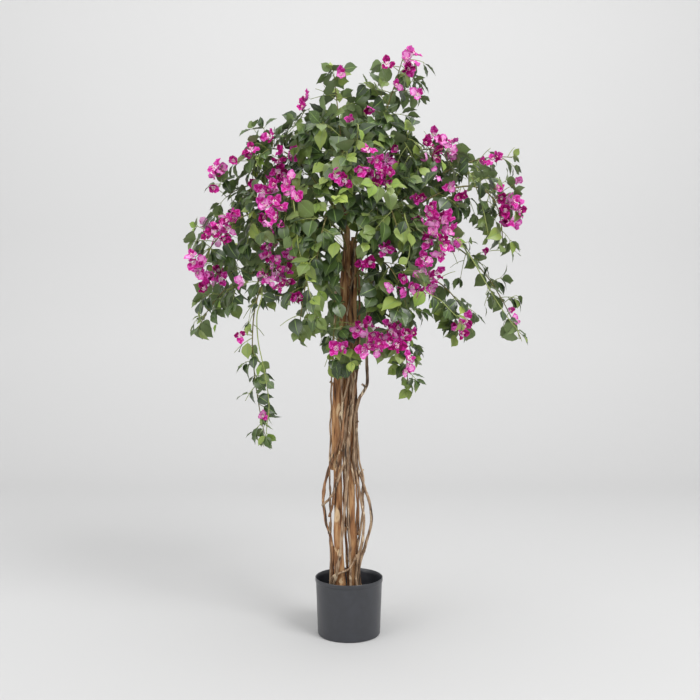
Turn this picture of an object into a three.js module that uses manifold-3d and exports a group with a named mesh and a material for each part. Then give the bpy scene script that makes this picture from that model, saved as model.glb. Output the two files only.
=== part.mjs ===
// An artificial bougainvillea tree in its nursery pot: two bundled wood stems wound with lianas, and a
// crown of flowering sprays. Millimetres, +Z up. The origin is the centre of the pot's underside, +X is
// the plant's right, and its front faces -Y. Azimuths are in degrees from +X towards +Y.
import * as THREE from "three";
import { mergeVertices } from "three/addons/utils/BufferGeometryUtils.js";
import Module from "manifold-3d";

const wasm = await Module();
wasm.setup();

// Driving sizes.
const GAP = 0.3; // between neighbouring solids
const JOINT_GAP = 1.5 * GAP; // where both of two faceted faces stand off a curve
const SLIVER = 0.02; // edges shorter than this, left by a joint, are closed up
const POT_HEIGHT = 145;
const POT_RIM_RADIUS = 87;
const POT_FOOT_RADIUS = 80;
const POT_WALL = 2.2;
const POT_FLOOR = 5;
const POT_BAND = 11; // height of the thicker band under the rim
const POT_BAND_PROUD = 1.6;
const POT_FOOT_BEVEL = [4, 1.2]; // how far the underside's flat and the wall's foot stand in
const POT_LIP = 0.8; // bevel of the rim's outer edge
const POT_SEGMENTS = 30;
const FILL_TOP = 105; // the cement that the stems stand in
const FOOT = FILL_TOP + GAP;
const BELOW = 400; // side of the block that trims the stems' feet at that height

// Wood. A main stem runs through its points, and its radius goes from foot to tip, with a flared foot.
const MAIN_STEMS = [
  {
    name: "stem_left",
    points: [[-24, -4], [-27, -5], [-29, -4], [-21, 0], [-9, 2], [-3, 3]],
    heights: [FOOT, 290, 480, 680, 890, 1130],
    radii: [12.2, 8.5],
    flare: 3.5,
    lobes: 0.5,
  },
  {
    name: "stem_right",
    points: [[15, 5], [6, 5], [5, 5], [5, 6], [13, 7], [13, 9]],
    heights: [FOOT, 290, 490, 640, 810, 1020],
    radii: [10.2, 6.5],
    flare: 3,
    lobes: 2.1,
  },
];
const MAIN_TAPER = 1.6; // power of the share of its height
const MAIN_SIDES = 10;
const MAIN_STEPS = 28;
const FLARE_HEIGHT = 45;
const LOBE_DEPTH = 0.07; // share of the radius
const LOBE_RISES = [90, 60]; // height in which two lobes and three lobes turn by a radian
const THIRD_LOBE = 0.6; // depth of the three beside the two
const MAIN_SAMPLES = 40;

// Lianas wind round the two stems. Each runs from one height to another while its azimuth goes from one
// angle to another, early or late as its winding power says. It hugs the bundle at the first and last
// distances from its middle, and bows out by so much at a height, over a span above and below.
const LIANAS = [
  // name, from, to, azimuths, winding, hug distances, bow, bow height, bow span, radius
  ["liana_left_outer", FOOT, 575, 182, 322, 5, 33, 24, 27, 352, 165, 4.1],
  ["liana_left_inner", FOOT, 880, 184, 176, 1, 35, 37, 2, 380, 160, 2.6],
  ["liana_right_outer", FOOT, 800, 352, 372, 1, 25, 26, 44, 300, 172, 4],
  ["liana_right_middle", FOOT, 640, 338, 345, 1, 24, 26, 28, 290, 160, 3.8],
  ["liana_right_inner", FOOT, 560, 378, 352, 1, 25, 24, 24, 330, 175, 3.2],
  ["liana_right_thin", FOOT, 620, 362, 395, 2, 26, 24, 8, 340, 150, 2.5],
  ["liana_foot", FOOT, 700, 178, 318, 0.42, 40, 20, 0, 300, 100, 4],
  ["liana_front", FOOT, 790, 300, 200, 2.2, 20, 24, 0, 300, 100, 3.6],
  ["liana_cross_low", 300, 760, 186, 300, 0.6, 36, 22, 0, 300, 100, 3.2],
  ["liana_cross_high", 330, 720, 190, 335, 0.5, 51, 24, 0, 300, 100, 3.1],
  ["liana_back", FOOT, 860, 80, 120, 1, 22, 20, 4, 320, 160, 3.6],
].map(([name, from, to, azimuth, azimuthTo, winding, hug, hugTo, bow, bowAt, bowSpan, radius]) => ({
  name, from, to, azimuth, azimuthTo, winding, hug, hugTo, bow, bowAt, bowSpan, radius,
}));
const LIANA_TAPER = 0.75;
const LIANA_PLACES = 24; // along its way, at which it is pushed out
const LIANA_SIDES = 5;
const LIANA_STEPS = 15;
const LIANA_SAMPLES = 40;
const LIANA_SEAT = 0.8; // that a liana's round beds into the wood it bears on, before it is cut clear
const PUSH_PASSES = 14;

// The one wood branch that leaves the bundle low, through its knee, and carries the lowest sprays.
const BRANCH = {
  name: "branch_right",
  points: [[14, -9, 560], [25, -12, 600], [47, -15, 642], [45, -20, 700], [44, -26, 770], [48, -30, 830]],
  radii: [4.6, 3],
  sides: 5,
  steps: 14,
  samples: 30,
};
const BRANCH_END = 0.97; // share of the branch's length where its sprays start

// Sprays of foliage. Each stem leaves its carrier at the root height, passes its shoulder half way, and
// ends at its tip. It turns by some degrees of azimuth between the two. The bare part of it is a bough
// where one is named, and the rest carries twigs up to the spread, and clusters of blossom.
const SPRAYS = [
  // name, root, azimuth, shoulder reach and height, turn, tip reach and height, bare share, bough or not,
  // spread, shares of its length where blossom stands, seed
  ["spire_right", 1085, -14, 78, 1285, 4, 142, 1480, 0.35, 0, 88, [0.76, 1], 27],
  ["spire_left", 1110, 150, 26, 1290, 0, 44, 1435, 0.3, 0, 92, [0.95], 28],
  ["upper_left", 1075, 190, 95, 1250, 0, 140, 1300, 0.3, 0, 88, [0.95], 29],
  ["upper_front", 1080, 262, 90, 1235, 8, 165, 1180, 0.25, 0, 110, [0.9], 61],
  ["upper_right", 1065, 335, 95, 1220, -4, 170, 1250, 0.25, 0, 105, [0.9], 31],
  ["upper_back", 1095, 84, 100, 1290, 0, 165, 1350, 0.3, 0, 105, [0.9], 32],
  ["left_high", 1040, 200, 155, 1215, -6, 238, 1200, 0.24, 1, 92, [0.6, 0.78, 0.96], 33],
  ["left_far", 1015, 172, 190, 1150, 0, 325, 1130, 0.28, 1, 92, [0.66, 0.97], 34],
  ["left_front", 980, 210, 215, 1070, -8, 360, 975, 0.28, 1, 92, [0.7, 0.86, 0.97], 35],
  ["left_back", 950, 160, 230, 1020, 0, 402, 890, 0.28, 1, 92, [0.7, 0.88], 36],
  ["left_low", 905, 186, 230, 930, 0, 375, 800, 0.3, 1, 85, [0.62], 77],
  ["left_tassel", 930, 206, 235, 890, -8, 222, 520, 0.42, 1, 52, [0.42, 0.72, 0.93], 118],
  ["inner_left", 1020, 226, 115, 1130, -4, 225, 1060, 0.25, 0, 105, [0.7, 0.95], 39],
  ["inner_left_low", 925, 230, 125, 950, 2, 190, 790, 0.25, 0, 95, [0.55, 0.9], 40],
  ["front_left", 980, 252, 140, 1060, -4, 205, 930, 0.25, 0, 90, [0.6], 41],
  ["front_right", 1000, 300, 130, 1110, 6, 200, 1010, 0.25, 0, 105, [0.74, 0.95], 42],
  ["front_right_low", 915, 312, 125, 945, 0, 205, 835, 0.25, 0, 95, [0.55, 0.94], 43],
  ["right_high", 1055, 6, 160, 1235, 0, 265, 1215, 0.24, 1, 92, [0.84, 0.98], 44],
  ["right_far", 1000, 12, 245, 1190, 0, 448, 1246, 0.34, 1, 74, [0.8, 0.9], 45],
  ["right_hanging", 975, -10, 300, 1140, 4, 390, 980, 0.3, 1, 80, [0.7, 0.84, 0.97], 46],
  ["right_tassel", 930, 6, 255, 1010, 0, 455, 758, 0.3, 1, 60, [0.93], 87],
  ["right_front", 960, -34, 165, 1070, 0, 250, 965, 0.24, 1, 92, [0.7, 0.86, 0.98], 48],
  ["right_low", 880, -14, 195, 915, 2, 310, 788, 0.3, 1, 76, [0.88], 49],
  ["low_front", 0, -40, 110, 852, -10, 185, 745, 0.2, 0, 84, [0.5, 0.8], 50],
  ["low_tail", 0, -20, 130, 790, -2, 158, 650, 0.25, 0, 58, [0.72], 51],
  ["low_left", 850, 250, 80, 820, -4, 118, 700, 0.3, 0, 80, [0.8], 52],
  ["back_left", 1025, 128, 190, 1130, 0, 300, 1020, 0.24, 1, 115, [0.7, 0.96], 62],
  ["back_right", 1010, 48, 190, 1120, 0, 300, 1040, 0.24, 1, 115, [0.7, 0.96], 54],
  ["back_low", 930, 92, 200, 960, 0, 318, 800, 0.3, 0, 110, [0.66, 0.92], 55],
].map(([name, root, azimuth, out, shoulder, turn, reach, tip, bare, bough, spread, blooms, seed]) => ({
  name, root, azimuth, out, shoulder, turn, reach, tip, bare, bough, spread, blooms, seed,
}));

const RIGHTWARD = 0.2; // cosine of the azimuth beyond which a spray starts on the right stem

// Foliage sizes. What varies by chance does so by half of its named spread either way.
const STEM_RADIUS = 3.4; // of a spray at its root
const STEM_TIP_RADIUS = 1.9;
const STEM_SIDES = 4;
const STEM_STEPS = 5;
const STEM_SAMPLES = 24;
const STRETCH_SPANS = 12; // of a curve through a stretch of another
const STRETCH_SAMPLES = 16;
const BOUGH = { sides: 4, steps: 5 };
const TWIG_EVERY = 30;
const TWIGS_AT_MOST = 12;
const TWIG_RADIUS = 1.2;
const TWIG_TIP_RADIUS = 0.7;
const TWIG_OPENING = 60; // degrees from its stem
const OPENING_VARIES = 16;
const TWIG_LENGTHS = [1.15, 0.65]; // share of the spread, at a spray's foot and tip
const TWIG_VARIES = 0.6;
const TWIG_DROOP = 0.2; // share of its length
const END_TWIG = 30; // length of the one that a stem ends in
const END_FROM = 0.97; // share of the stem where that one starts
const TWIG_TRIES = [[1, 1], [0.75, 1], [0.5, 1], [1, 0.72], [0.75, 0.72], [0.5, 0.72], [0.3, 0.72]];
const TURN = 137.5; // degrees round the stem from one twig to the next
const LEAF_TURNS = [-96, 0, 96]; // degrees from forward, of each leaf at the twig's end
const LEAF_LENGTH = 84; // on a spray of full spread
const FULL_SPREAD = 100;
const LEAF_LEAST = 0.5; // share of that length on a spray without spread
const LEAF_VARIES = 0.3; // share of its length
const TURN_VARIES = 12;
const LEAF_WIDTH = 0.74; // of its length
const LEAF_WIDEST = 0.42; // along its length
const LEAF_THICKNESS = 3; // at its root
const LEAF_DROOP = 0.08; // share of its length
const LEAF_YOUNG = 0.62; // size at a spray's tip, against its foot
const BRACT_TURNS = [-120, 0, 120];
const BRACT_LENGTH = 44;
const BRACT_WIDTH = 0.86;
const BRACT_DROOP = -0.3;
const BLOOM_STALK = 34;
const STALK_OPENING = 80; // degrees from its stem
const STALK_OUTWARD = 1.2; // weights beside that direction
const STALK_LIFT = 0.2;
const BLOOM_SPAN = [0.03, 0.98]; // shares of a stem between which stalks start
const CLEFT = 5; // from a rosette's middle to the foot of the cleft between its leaves
const HOLD = 8; // from a rosette's middle to where its twig enters it, under its main leaf
const HOLD_TURN = 15;
const LEAF_FACES_UP = 0.5; // weights beside the outward direction, of the way that a rosette faces
const LEAF_FACES_ON = 1.1;
const LEAF_HANGS = 0.7; // weight of straight down, beside its twig's direction, of the way it points
const CLEAR_OF_LIMBS = 1.5;
const CLEAR_OF_SPRAYS = 1.5;
const NEIGHBOURS = 4; // free distance within which one limb is cut clear of another
const STALK_SEED = 800; // added to a spray's seed for its stalks
const LEAF_SEED = 400; // and for its leaves and bracts

const LOOKS = {
  pot: { color: 0x46484c, roughness: 0.55 },
  fill: { color: 0x17171a, roughness: 0.95 },
  wood: { color: 0x8a6a48, roughness: 0.85 },
  liana: { color: 0x77624e, roughness: 0.85 },
  bough: { color: 0x6b6a35, roughness: 0.8 },
  leaf: { color: 0x3f6b33, roughness: 0.6 },
};

const radians = THREE.MathUtils.degToRad;
const mix = THREE.MathUtils.lerp;
const vector = (x, y, z) => new THREE.Vector3(x, y, z);
const curveThrough = (points) => new THREE.CatmullRomCurve3(points, false, "catmullrom", 0.5);
const EAST = vector(1, 0, 0);
const polar = (azimuth, reach, height) =>
  vector(reach * Math.cos(radians(azimuth)), reach * Math.sin(radians(azimuth)), height);

// One, more or less by chance.
const varied = (random, spread) => 1 + spread * (random() - 0.5);

// A repeatable run of numbers from 0 to 1.
function stream(seed) {
  let state = (seed * 7919 + 17) >>> 0;
  return () => {
    state = (Math.imul(state, 1664525) + 1013904223) >>> 0;
    return state / 2 ** 32;
  };
}

// Solids.
function solidOf(geometry) {
  const bare = geometry.index ? geometry.toNonIndexed() : geometry.clone();
  bare.deleteAttribute("normal");
  bare.deleteAttribute("uv");
  const merged = mergeVertices(bare, 1e-3);
  const mesh = new wasm.Mesh({
    numProp: 3,
    vertProperties: merged.attributes.position.array,
    triVerts: new Uint32Array(merged.index.array),
  });
  return new wasm.Manifold(mesh);
}

function geometryOf(solid) {
  const mesh = solid.simplify(SLIVER).getMesh();
  return new THREE.BufferGeometry()
    .setAttribute("position", new THREE.BufferAttribute(new Float32Array(mesh.vertProperties), 3))
    .setIndex(new THREE.BufferAttribute(new Uint32Array(mesh.triVerts), 1));
}

const largest = (solid) =>
  solid.decompose().reduce((best, body) => (body.volume() > best.volume() ? body : best));

// A limb is a curve with a radius along and round it, and a reference side that its rings keep to.
function limbGeometry(limb, grow = 0) {
  const geometry = new THREE.CylinderGeometry(1, 1, 1, limb.sides, limb.steps);
  const position = geometry.attributes.position;
  for (let i = 0; i < position.count; i++) {
    const t = position.getY(i) + 0.5;
    const tangent = limb.curve.getTangent(t);
    const side = limb.side.clone().addScaledVector(tangent, -limb.side.dot(tangent)).normalize();
    const other = side.clone().cross(tangent);
    const round = Math.atan2(position.getZ(i), position.getX(i));
    const radius = limb.radiusAt(t, round) + grow;
    const point = limb.curve.getPoint(t);
    point.addScaledVector(side, position.getX(i) * radius);
    point.addScaledVector(other, position.getZ(i) * radius);
    position.setXYZ(i, point.x, point.y, point.z);
  }
  return geometry;
}

function withSamples(limb, count) {
  limb.samples = Array.from({ length: count + 1 }, (_, i) => ({
    point: limb.curve.getPoint(i / count),
    radius: limb.radiusAt(i / count, 0),
  }));
  return limb;
}

// The smallest free distance from a point to a limb's surface, and the nearest place on its line.
function nearestOn(limb, point) {
  let best = { free: Infinity };
  const samples = limb.samples;
  for (let i = 0; i + 1 < samples.length; i++) {
    const from = samples[i].point;
    const along = samples[i + 1].point.clone().sub(from);
    const offset = point.clone().sub(from);
    const t = THREE.MathUtils.clamp(offset.dot(along) / along.lengthSq(), 0, 1);
    const place = from.clone().addScaledVector(along, t);
    const free = place.distanceTo(point) - mix(samples[i].radius, samples[i + 1].radius, t);
    if (free < best.free) best = { free, place };
  }
  return best;
}

// The pot and its fill.
function turned(profile, segments) {
  const points = profile.map(([radius, height]) => new THREE.Vector2(radius, height));
  return new THREE.LatheGeometry(points, segments).rotateX(Math.PI / 2);
}

const bodyRadius = (height) => mix(POT_FOOT_RADIUS, POT_RIM_RADIUS - POT_BAND_PROUD, height / POT_HEIGHT);

function potGeometry() {
  const band = POT_HEIGHT - POT_BAND;
  const [bevel, edge] = POT_FOOT_BEVEL;
  return turned(
    [
      [0, 0],
      [POT_FOOT_RADIUS - bevel, 0],
      [POT_FOOT_RADIUS - edge, edge],
      [bodyRadius(bevel), bevel],
      [bodyRadius(band), band],
      [POT_RIM_RADIUS - POT_LIP / 2, band + POT_BAND_PROUD],
      [POT_RIM_RADIUS, POT_HEIGHT - POT_LIP],
      [POT_RIM_RADIUS - POT_LIP, POT_HEIGHT],
      [POT_RIM_RADIUS - POT_WALL, POT_HEIGHT],
      [bodyRadius(band) - POT_WALL, band],
      [bodyRadius(POT_FLOOR) - POT_WALL, POT_FLOOR],
      [0, POT_FLOOR],
    ],
    POT_SEGMENTS,
  );
}

function fillGeometry() {
  const low = POT_FLOOR + GAP;
  const inside = (height) => bodyRadius(height) - POT_WALL - JOINT_GAP;
  return turned([[0, low], [inside(low), low], [inside(FILL_TOP), FILL_TOP], [0, FILL_TOP]], POT_SEGMENTS);
}

// The two main stems.
function mainStem({ name, points, heights, radii, flare, lobes }) {
  const places = points.map(([x, y], i) => vector(x, y, heights[i]));
  const curve = curveThrough(places);
  const length = heights.at(-1) - heights[0];
  const radiusAt = (t, round) => {
    const rise = t * length;
    const [two, three] = LOBE_RISES;
    const lobe =
      Math.cos(2 * round + lobes + rise / two) + THIRD_LOBE * Math.cos(3 * round - rise / three);
    const plain = mix(radii[0], radii[1], t ** MAIN_TAPER) + flare * Math.exp(-rise / FLARE_HEIGHT);
    return plain * (1 + LOBE_DEPTH * lobe);
  };
  const facets = { sides: MAIN_SIDES, steps: MAIN_STEPS };
  return withSamples({ name, curve, radiusAt, side: EAST, ...facets }, MAIN_SAMPLES);
}

// The middle of a stem at a height.
function placeAt(stem, height) {
  const { samples } = stem;
  const above = Math.max(1, samples.findIndex(({ point }) => point.z >= height));
  const [low, high] = [samples[above - 1].point, samples[above].point];
  return low.clone().lerp(high, (height - low.z) / (high.z - low.z)).setZ(height);
}

// Moves a point out until a limb of this radius only just bears on the limbs that are there already.
function pushedOut(point, middle, radius, limbs) {
  const outward = point.clone().sub(middle).setZ(0).normalize();
  for (let pass = 0; pass < PUSH_PASSES; pass++)
    for (const limb of limbs) {
      const near = nearestOn(limb, point);
      const short = radius - LIANA_SEAT - near.free;
      if (short > 0) point.addScaledVector(outward, short);
    }
  return point;
}

function liana(sizes, stems, limbs) {
  const places = [];
  for (let i = 0; i <= LIANA_PLACES; i++) {
    const s = i / LIANA_PLACES;
    const height = mix(sizes.from, sizes.to, s);
    const middle = placeAt(stems[0], height).lerp(placeAt(stems[1], height), 0.5);
    const off = Math.min(1, Math.abs(height - sizes.bowAt) / sizes.bowSpan);
    const hug = mix(sizes.hug, sizes.hugTo, s) + sizes.bow * Math.cos((off * Math.PI) / 2) ** 2;
    const azimuth = mix(sizes.azimuth, sizes.azimuthTo, s ** sizes.winding);
    const place = polar(azimuth, hug, 0).add(middle);
    places.push(pushedOut(place, middle, sizes.radius, limbs));
  }
  const smooth = places.map((place, i) => {
    if (i === 0 || i === LIANA_PLACES) return place;
    return places[i - 1].clone().add(places[i + 1]).addScaledVector(place, 2).divideScalar(4);
  });
  const curve = curveThrough(smooth);
  const radiusAt = (t) => sizes.radius * mix(1, LIANA_TAPER, t);
  const facets = { sides: LIANA_SIDES, steps: LIANA_STEPS };
  return withSamples({ name: sizes.name, curve, radiusAt, side: EAST, ...facets }, LIANA_SAMPLES);
}

function branch({ name, points, radii, sides, steps, samples }) {
  const curve = curveThrough(points.map((point) => vector(...point)));
  const radiusAt = (t) => mix(radii[0], radii[1], t);
  return withSamples({ name, curve, radiusAt, side: EAST, sides, steps }, samples);
}

// A spray's stem. It starts in the middle of the main stem on its own side, or at the branch's tip.
function sprayLimb(spray, [left, right], carrier) {
  const rightward = Math.cos(radians(spray.azimuth)) > RIGHTWARD && spray.root < right.samples.at(-1).point.z;
  const trunk = rightward ? right : left;
  const root = spray.root ? placeAt(trunk, spray.root) : carrier.curve.getPoint(BRANCH_END);
  const shoulder = polar(spray.azimuth, spray.out, spray.shoulder);
  const tip = polar(spray.azimuth + spray.turn, spray.reach, spray.tip);
  const control = shoulder.multiplyScalar(2).addScaledVector(root, -0.5).addScaledVector(tip, -0.5);
  const curve = new THREE.QuadraticBezierCurve3(root, control, tip);
  const radiusAt = (t) => mix(STEM_RADIUS, STEM_TIP_RADIUS, t);
  const side = polar(spray.azimuth + 90, 1, 0);
  const facets = { sides: STEM_SIDES, steps: STEM_STEPS };
  return withSamples({ name: spray.name, curve, radiusAt, side, ...facets }, STEM_SAMPLES);
}

// A stretch of a limb, between two shares of its length.
function stretch(limb, from, to, facets = {}) {
  const points = Array.from({ length: STRETCH_SPANS + 1 }, (_, i) =>
    limb.curve.getPoint(mix(from, to, i / STRETCH_SPANS)),
  );
  const curve = curveThrough(points);
  const radiusAt = (t) => limb.radiusAt(mix(from, to, t));
  return withSamples({ ...limb, ...facets, curve, radiusAt }, STRETCH_SAMPLES);
}

// A direction from a limb at a share of its length, opened from its tangent and turned round it.
function openedFrom(limb, t, opening, round) {
  const tangent = limb.curve.getTangent(t);
  const side = limb.side.clone().addScaledVector(tangent, -limb.side.dot(tangent)).normalize();
  const other = side.clone().cross(tangent);
  return tangent
    .multiplyScalar(Math.cos(radians(opening)))
    .addScaledVector(side, Math.sin(radians(opening)) * Math.cos(radians(round)))
    .addScaledVector(other, Math.sin(radians(opening)) * Math.sin(radians(round)));
}

// A place on a limb's faceted line.
function axisPlace(limb, t) {
  const step = Math.min(limb.steps - 1, Math.floor(t * limb.steps));
  const [from, to] = [step, step + 1].map((i) => limb.curve.getPoint(i / limb.steps));
  return from.lerp(to, t * limb.steps - step);
}

// The twigs of a spray, from where its stem turns leafy to its tip, which ends as one more.
function twigsOf(spray, stem) {
  const random = stream(spray.seed);
  const leafyFrom = spray.bough ? 0 : spray.bare;
  const leafy = stem.curve.getLength() * (1 - leafyFrom);
  const count = Math.min(TWIGS_AT_MOST, Math.max(3, Math.round(leafy / TWIG_EVERY)));
  const first = random() * 360;
  const leaf = LEAF_LENGTH * mix(LEAF_LEAST, 1, spray.spread / FULL_SPREAD);
  const twigs = Array.from({ length: count }, (_, i) => {
    const share = (i + 0.5) / count;
    const t = mix(leafyFrom, 1, share);
    const opening = TWIG_OPENING + OPENING_VARIES * (random() - 0.5);
    const length = spray.spread * mix(...TWIG_LENGTHS, share) * varied(random, TWIG_VARIES);
    const reach = openedFrom(stem, t, opening, first + i * TURN).add(vector(0, 0, -TWIG_DROOP));
    return { start: axisPlace(stem, t), reach: reach.multiplyScalar(length), share, leaf };
  });
  const onward = stem.curve.getTangent(1).multiplyScalar(END_TWIG);
  twigs.push({ start: axisPlace(stem, END_FROM), reach: onward, share: 1, leaf });
  return twigs;
}

// The stalks of a spray's clusters of blossom, which lean outward.
function stalksOf(spray, stem) {
  const random = stream(spray.seed + STALK_SEED);
  const [lowest, highest] = BLOOM_SPAN;
  return spray.blooms.map((share) => {
    const t = spray.bough ? (share - spray.bare) / (1 - spray.bare) : share;
    const along = THREE.MathUtils.clamp(t, lowest, highest);
    const start = axisPlace(stem, along);
    const lean = openedFrom(stem, along, STALK_OPENING, 360 * random());
    const reach = outwardFrom(start).multiplyScalar(STALK_OUTWARD).add(lean).add(vector(0, 0, STALK_LIFT));
    return { start, reach: reach.setLength(BLOOM_STALK) };
  });
}

const outwardFrom = (point) => vector(point.x, point.y, 0).normalize();

// The leaf or bract of a rosette that points most nearly forward.
const mainLeaf = (leaves) =>
  leaves.reduce((best, leaf) => (Math.abs(leaf.turn) < Math.abs(best.turn) ? leaf : best));

// Leaves or bracts that stand round the end of a twig, which enters from below under the main one.
// Each has its turn from the forward direction, its length and its width, and droops below their plane.
function rosette(end, forward, facing, leaves, droop) {
  const across = facing.clone().cross(forward).normalize();
  const basis = new THREE.Matrix4().makeBasis(across.clone().cross(facing), across, facing);
  const hold = radians(mainLeaf(leaves).turn + HOLD_TURN);
  const middle = vector(-HOLD * Math.cos(hold), -HOLD * Math.sin(hold), 0).applyMatrix4(basis).add(end);
  return { frame: basis.setPosition(middle), leaves, droop };
}

function leafRosette({ reach, share, leaf }, end, size, random) {
  const onward = reach.clone().normalize();
  const facing = outwardFrom(end).add(vector(0, 0, LEAF_FACES_UP)).addScaledVector(onward, LEAF_FACES_ON);
  facing.add(vector(random() - 0.5, random() - 0.5, random() - 0.5)).normalize();
  const forward = onward.add(vector(0, 0, -LEAF_HANGS));
  const leaves = LEAF_TURNS.map((turn) => {
    const length = size * leaf * mix(1, LEAF_YOUNG, share) * varied(random, LEAF_VARIES);
    return { turn: turn + TURN_VARIES * (random() - 0.5), length, width: length * LEAF_WIDTH };
  });
  return rosette(end, forward, facing, leaves, LEAF_DROOP);
}

function flowerRosette({ reach }, end, size, random) {
  const facing = reach.clone().normalize();
  const forward = vector(random() - 0.5, random() - 0.5, random() - 0.5);
  const bracts = BRACT_TURNS.map((turn) => {
    const length = size * BRACT_LENGTH * varied(random, LEAF_VARIES);
    return { turn: turn + TURN_VARIES * (random() - 0.5), length, width: length * BRACT_WIDTH };
  });
  return rosette(end, forward, facing, bracts, BRACT_DROOP);
}

function leafOutline({ turn, length, width }, droop) {
  const along = vector(Math.cos(radians(turn)), Math.sin(radians(turn)), -droop);
  const across = vector(-Math.sin(radians(turn)), Math.cos(radians(turn)), 0);
  const widest = along.clone().multiplyScalar(LEAF_WIDEST * length);
  return [
    widest.clone().addScaledVector(across, -width / 2),
    along.clone().multiplyScalar(length),
    widest.clone().addScaledVector(across, width / 2),
  ];
}

// The places by which a leaf is tested for room.
function leafPlaces({ frame, droop }, leaf) {
  const outline = leafOutline(leaf, droop);
  const foot = vector(0, 0, 0);
  const between = [...outline, foot].map((place, i, all) =>
    place.clone().lerp(all[(i + 1) % all.length], 0.5),
  );
  return [...outline, ...between].map((place) => place.applyMatrix4(frame));
}

function rosetteGeometry({ frame, leaves, droop }) {
  const ring = leaves.flatMap((leaf, i) => {
    const next = i + 1 < leaves.length ? leaves[i + 1].turn : leaves[0].turn + 360;
    const cleft = radians((leaf.turn + next) / 2);
    return [...leafOutline(leaf, droop), vector(CLEFT * Math.cos(cleft), CLEFT * Math.sin(cleft), 0)];
  });
  const geometry = new THREE.SphereGeometry(1, ring.length, 2);
  const position = geometry.attributes.position;
  for (let i = 0; i < position.count; i++) {
    const pole = Math.round(position.getY(i));
    const round = Math.atan2(position.getZ(i), -position.getX(i)) / (2 * Math.PI);
    const index = (Math.round(round * ring.length) + ring.length) % ring.length;
    const place = pole ? vector(0, 0, (pole * LEAF_THICKNESS) / 2) : ring[index];
    position.setXYZ(i, ...place);
  }
  return geometry.applyMatrix4(frame);
}

// A thin twig from one point to another.
function twigGeometry(start, end) {
  const along = end.clone().sub(start);
  const geometry = new THREE.CylinderGeometry(TWIG_TIP_RADIUS, TWIG_RADIUS, along.length(), 3);
  geometry.translate(0, along.length() / 2, 0);
  geometry.applyQuaternion(new THREE.Quaternion().setFromUnitVectors(vector(0, 1, 0), along.normalize()));
  return geometry.translate(start.x, start.y, start.z);
}

// True if the points are nearer to this leafy stem than to any other.
function inOwnSpace(points, own, leafyStems) {
  return points.every((point) => {
    const mine = nearestOn(own, point).free;
    return leafyStems.every((limb) => limb === own || nearestOn(limb, point).free > mine + CLEAR_OF_SPRAYS);
  });
}

// A spray's mass: its leafy stem, and the twigs fused on it whose leaves or bracts have room. Each twig is
// tried shorter, and then with smaller leaves, until they keep clear of the others and of every limb.
function massSolid(spray, stem, space, spaces, stemSolid, blocked) {
  const random = stream(spray.seed + LEAF_SEED);
  const grown = [];
  const grow = (twig, rosetteAt) => {
    for (const [share, size] of TWIG_TRIES) {
      const end = twig.start.clone().addScaledVector(twig.reach, share);
      const whole = rosetteAt(twig, end, size, random);
      const leaves = whole.leaves.filter((leaf) => inOwnSpace(leafPlaces(whole, leaf), space, spaces));
      if (leaves.length < 2 || !leaves.includes(mainLeaf(whole.leaves))) continue;
      const head = solidOf(rosetteGeometry({ ...whole, leaves }));
      const added = head.add(solidOf(twigGeometry(twig.start, end)));
      const clear = (solid, other) => solid.intersect(other).isEmpty();
      if (!clear(head, stemSolid) || ![blocked, ...grown].every((other) => clear(added, other))) continue;
      grown.push(added);
      return;
    }
  };
  for (const stalk of stalksOf(spray, stem)) grow(stalk, flowerRosette);
  for (const twig of twigsOf(spray, stem)) grow(twig, leafRosette);
  return largest(grown.reduce((all, one) => all.add(one), stemSolid));
}

// The whole plant.
const plant = new THREE.Group();

function place(name, geometry, look) {
  const material = new THREE.MeshStandardMaterial({ ...look, metalness: 0 });
  const mesh = new THREE.Mesh(geometry, material);
  mesh.name = name;
  plant.add(mesh);
}

// A limb's solid, kept clear of the limbs before it.
function clearedSolid(limb, before) {
  let solid = solidOf(limbGeometry(limb));
  for (const other of before)
    if (limb.samples.some(({ point, radius }) => nearestOn(other, point).free < radius + NEIGHBOURS))
      solid = solid.subtract(solidOf(limbGeometry(other, GAP)));
  return largest(solid);
}

const underFill = solidOf(new THREE.BoxGeometry(BELOW, BELOW, BELOW).translate(0, 0, FOOT - BELOW / 2));
const stems = MAIN_STEMS.map(mainStem);
const wood = [];
for (const limb of stems) placeWood(limb, LOOKS.wood);
for (const sizes of LIANAS) placeWood(liana(sizes, stems, wood), LOOKS.liana);
placeWood(branch(BRANCH), LOOKS.liana);

function placeWood(limb, look) {
  place(limb.name, geometryOf(clearedSolid(limb, wood).subtract(underFill)), look);
  wood.push(limb);
}

place("pot", potGeometry(), LOOKS.pot);
place("pot_fill", fillGeometry(), LOOKS.fill);

const limbs = SPRAYS.map((spray) => sprayLimb(spray, stems, wood.at(-1)));
SPRAYS.forEach((spray, i) => {
  if (!spray.bough) return;
  const end = spray.bare - JOINT_GAP / limbs[i].curve.getLength();
  const bough = stretch(limbs[i], 0, end, { ...BOUGH, name: `bough_${spray.name}` });
  place(bough.name, geometryOf(clearedSolid(bough, wood)), LOOKS.bough);
  wood.push(bough);
});
const sprayStems = SPRAYS.map((spray, i) => stretch(limbs[i], spray.bough ? spray.bare : 0, 1));
const spaces = SPRAYS.map((spray, i) => stretch(limbs[i], spray.bare, 1));
const stemSolids = sprayStems.map((stem, i) => clearedSolid(stem, [...wood, ...sprayStems.slice(0, i)]));
const woodSolid = wood
  .map((limb) => solidOf(limbGeometry(limb, CLEAR_OF_LIMBS)))
  .reduce((all, one) => all.add(one));
SPRAYS.forEach((spray, i) => {
  const blocked = stemSolids.filter((_, k) => k !== i).reduce((all, one) => all.add(one), woodSolid);
  const mass = massSolid(spray, sprayStems[i], spaces[i], spaces, stemSolids[i], blocked);
  place(`spray_${spray.name}`, geometryOf(mass), LOOKS.leaf);
});

export default plant;
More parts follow.
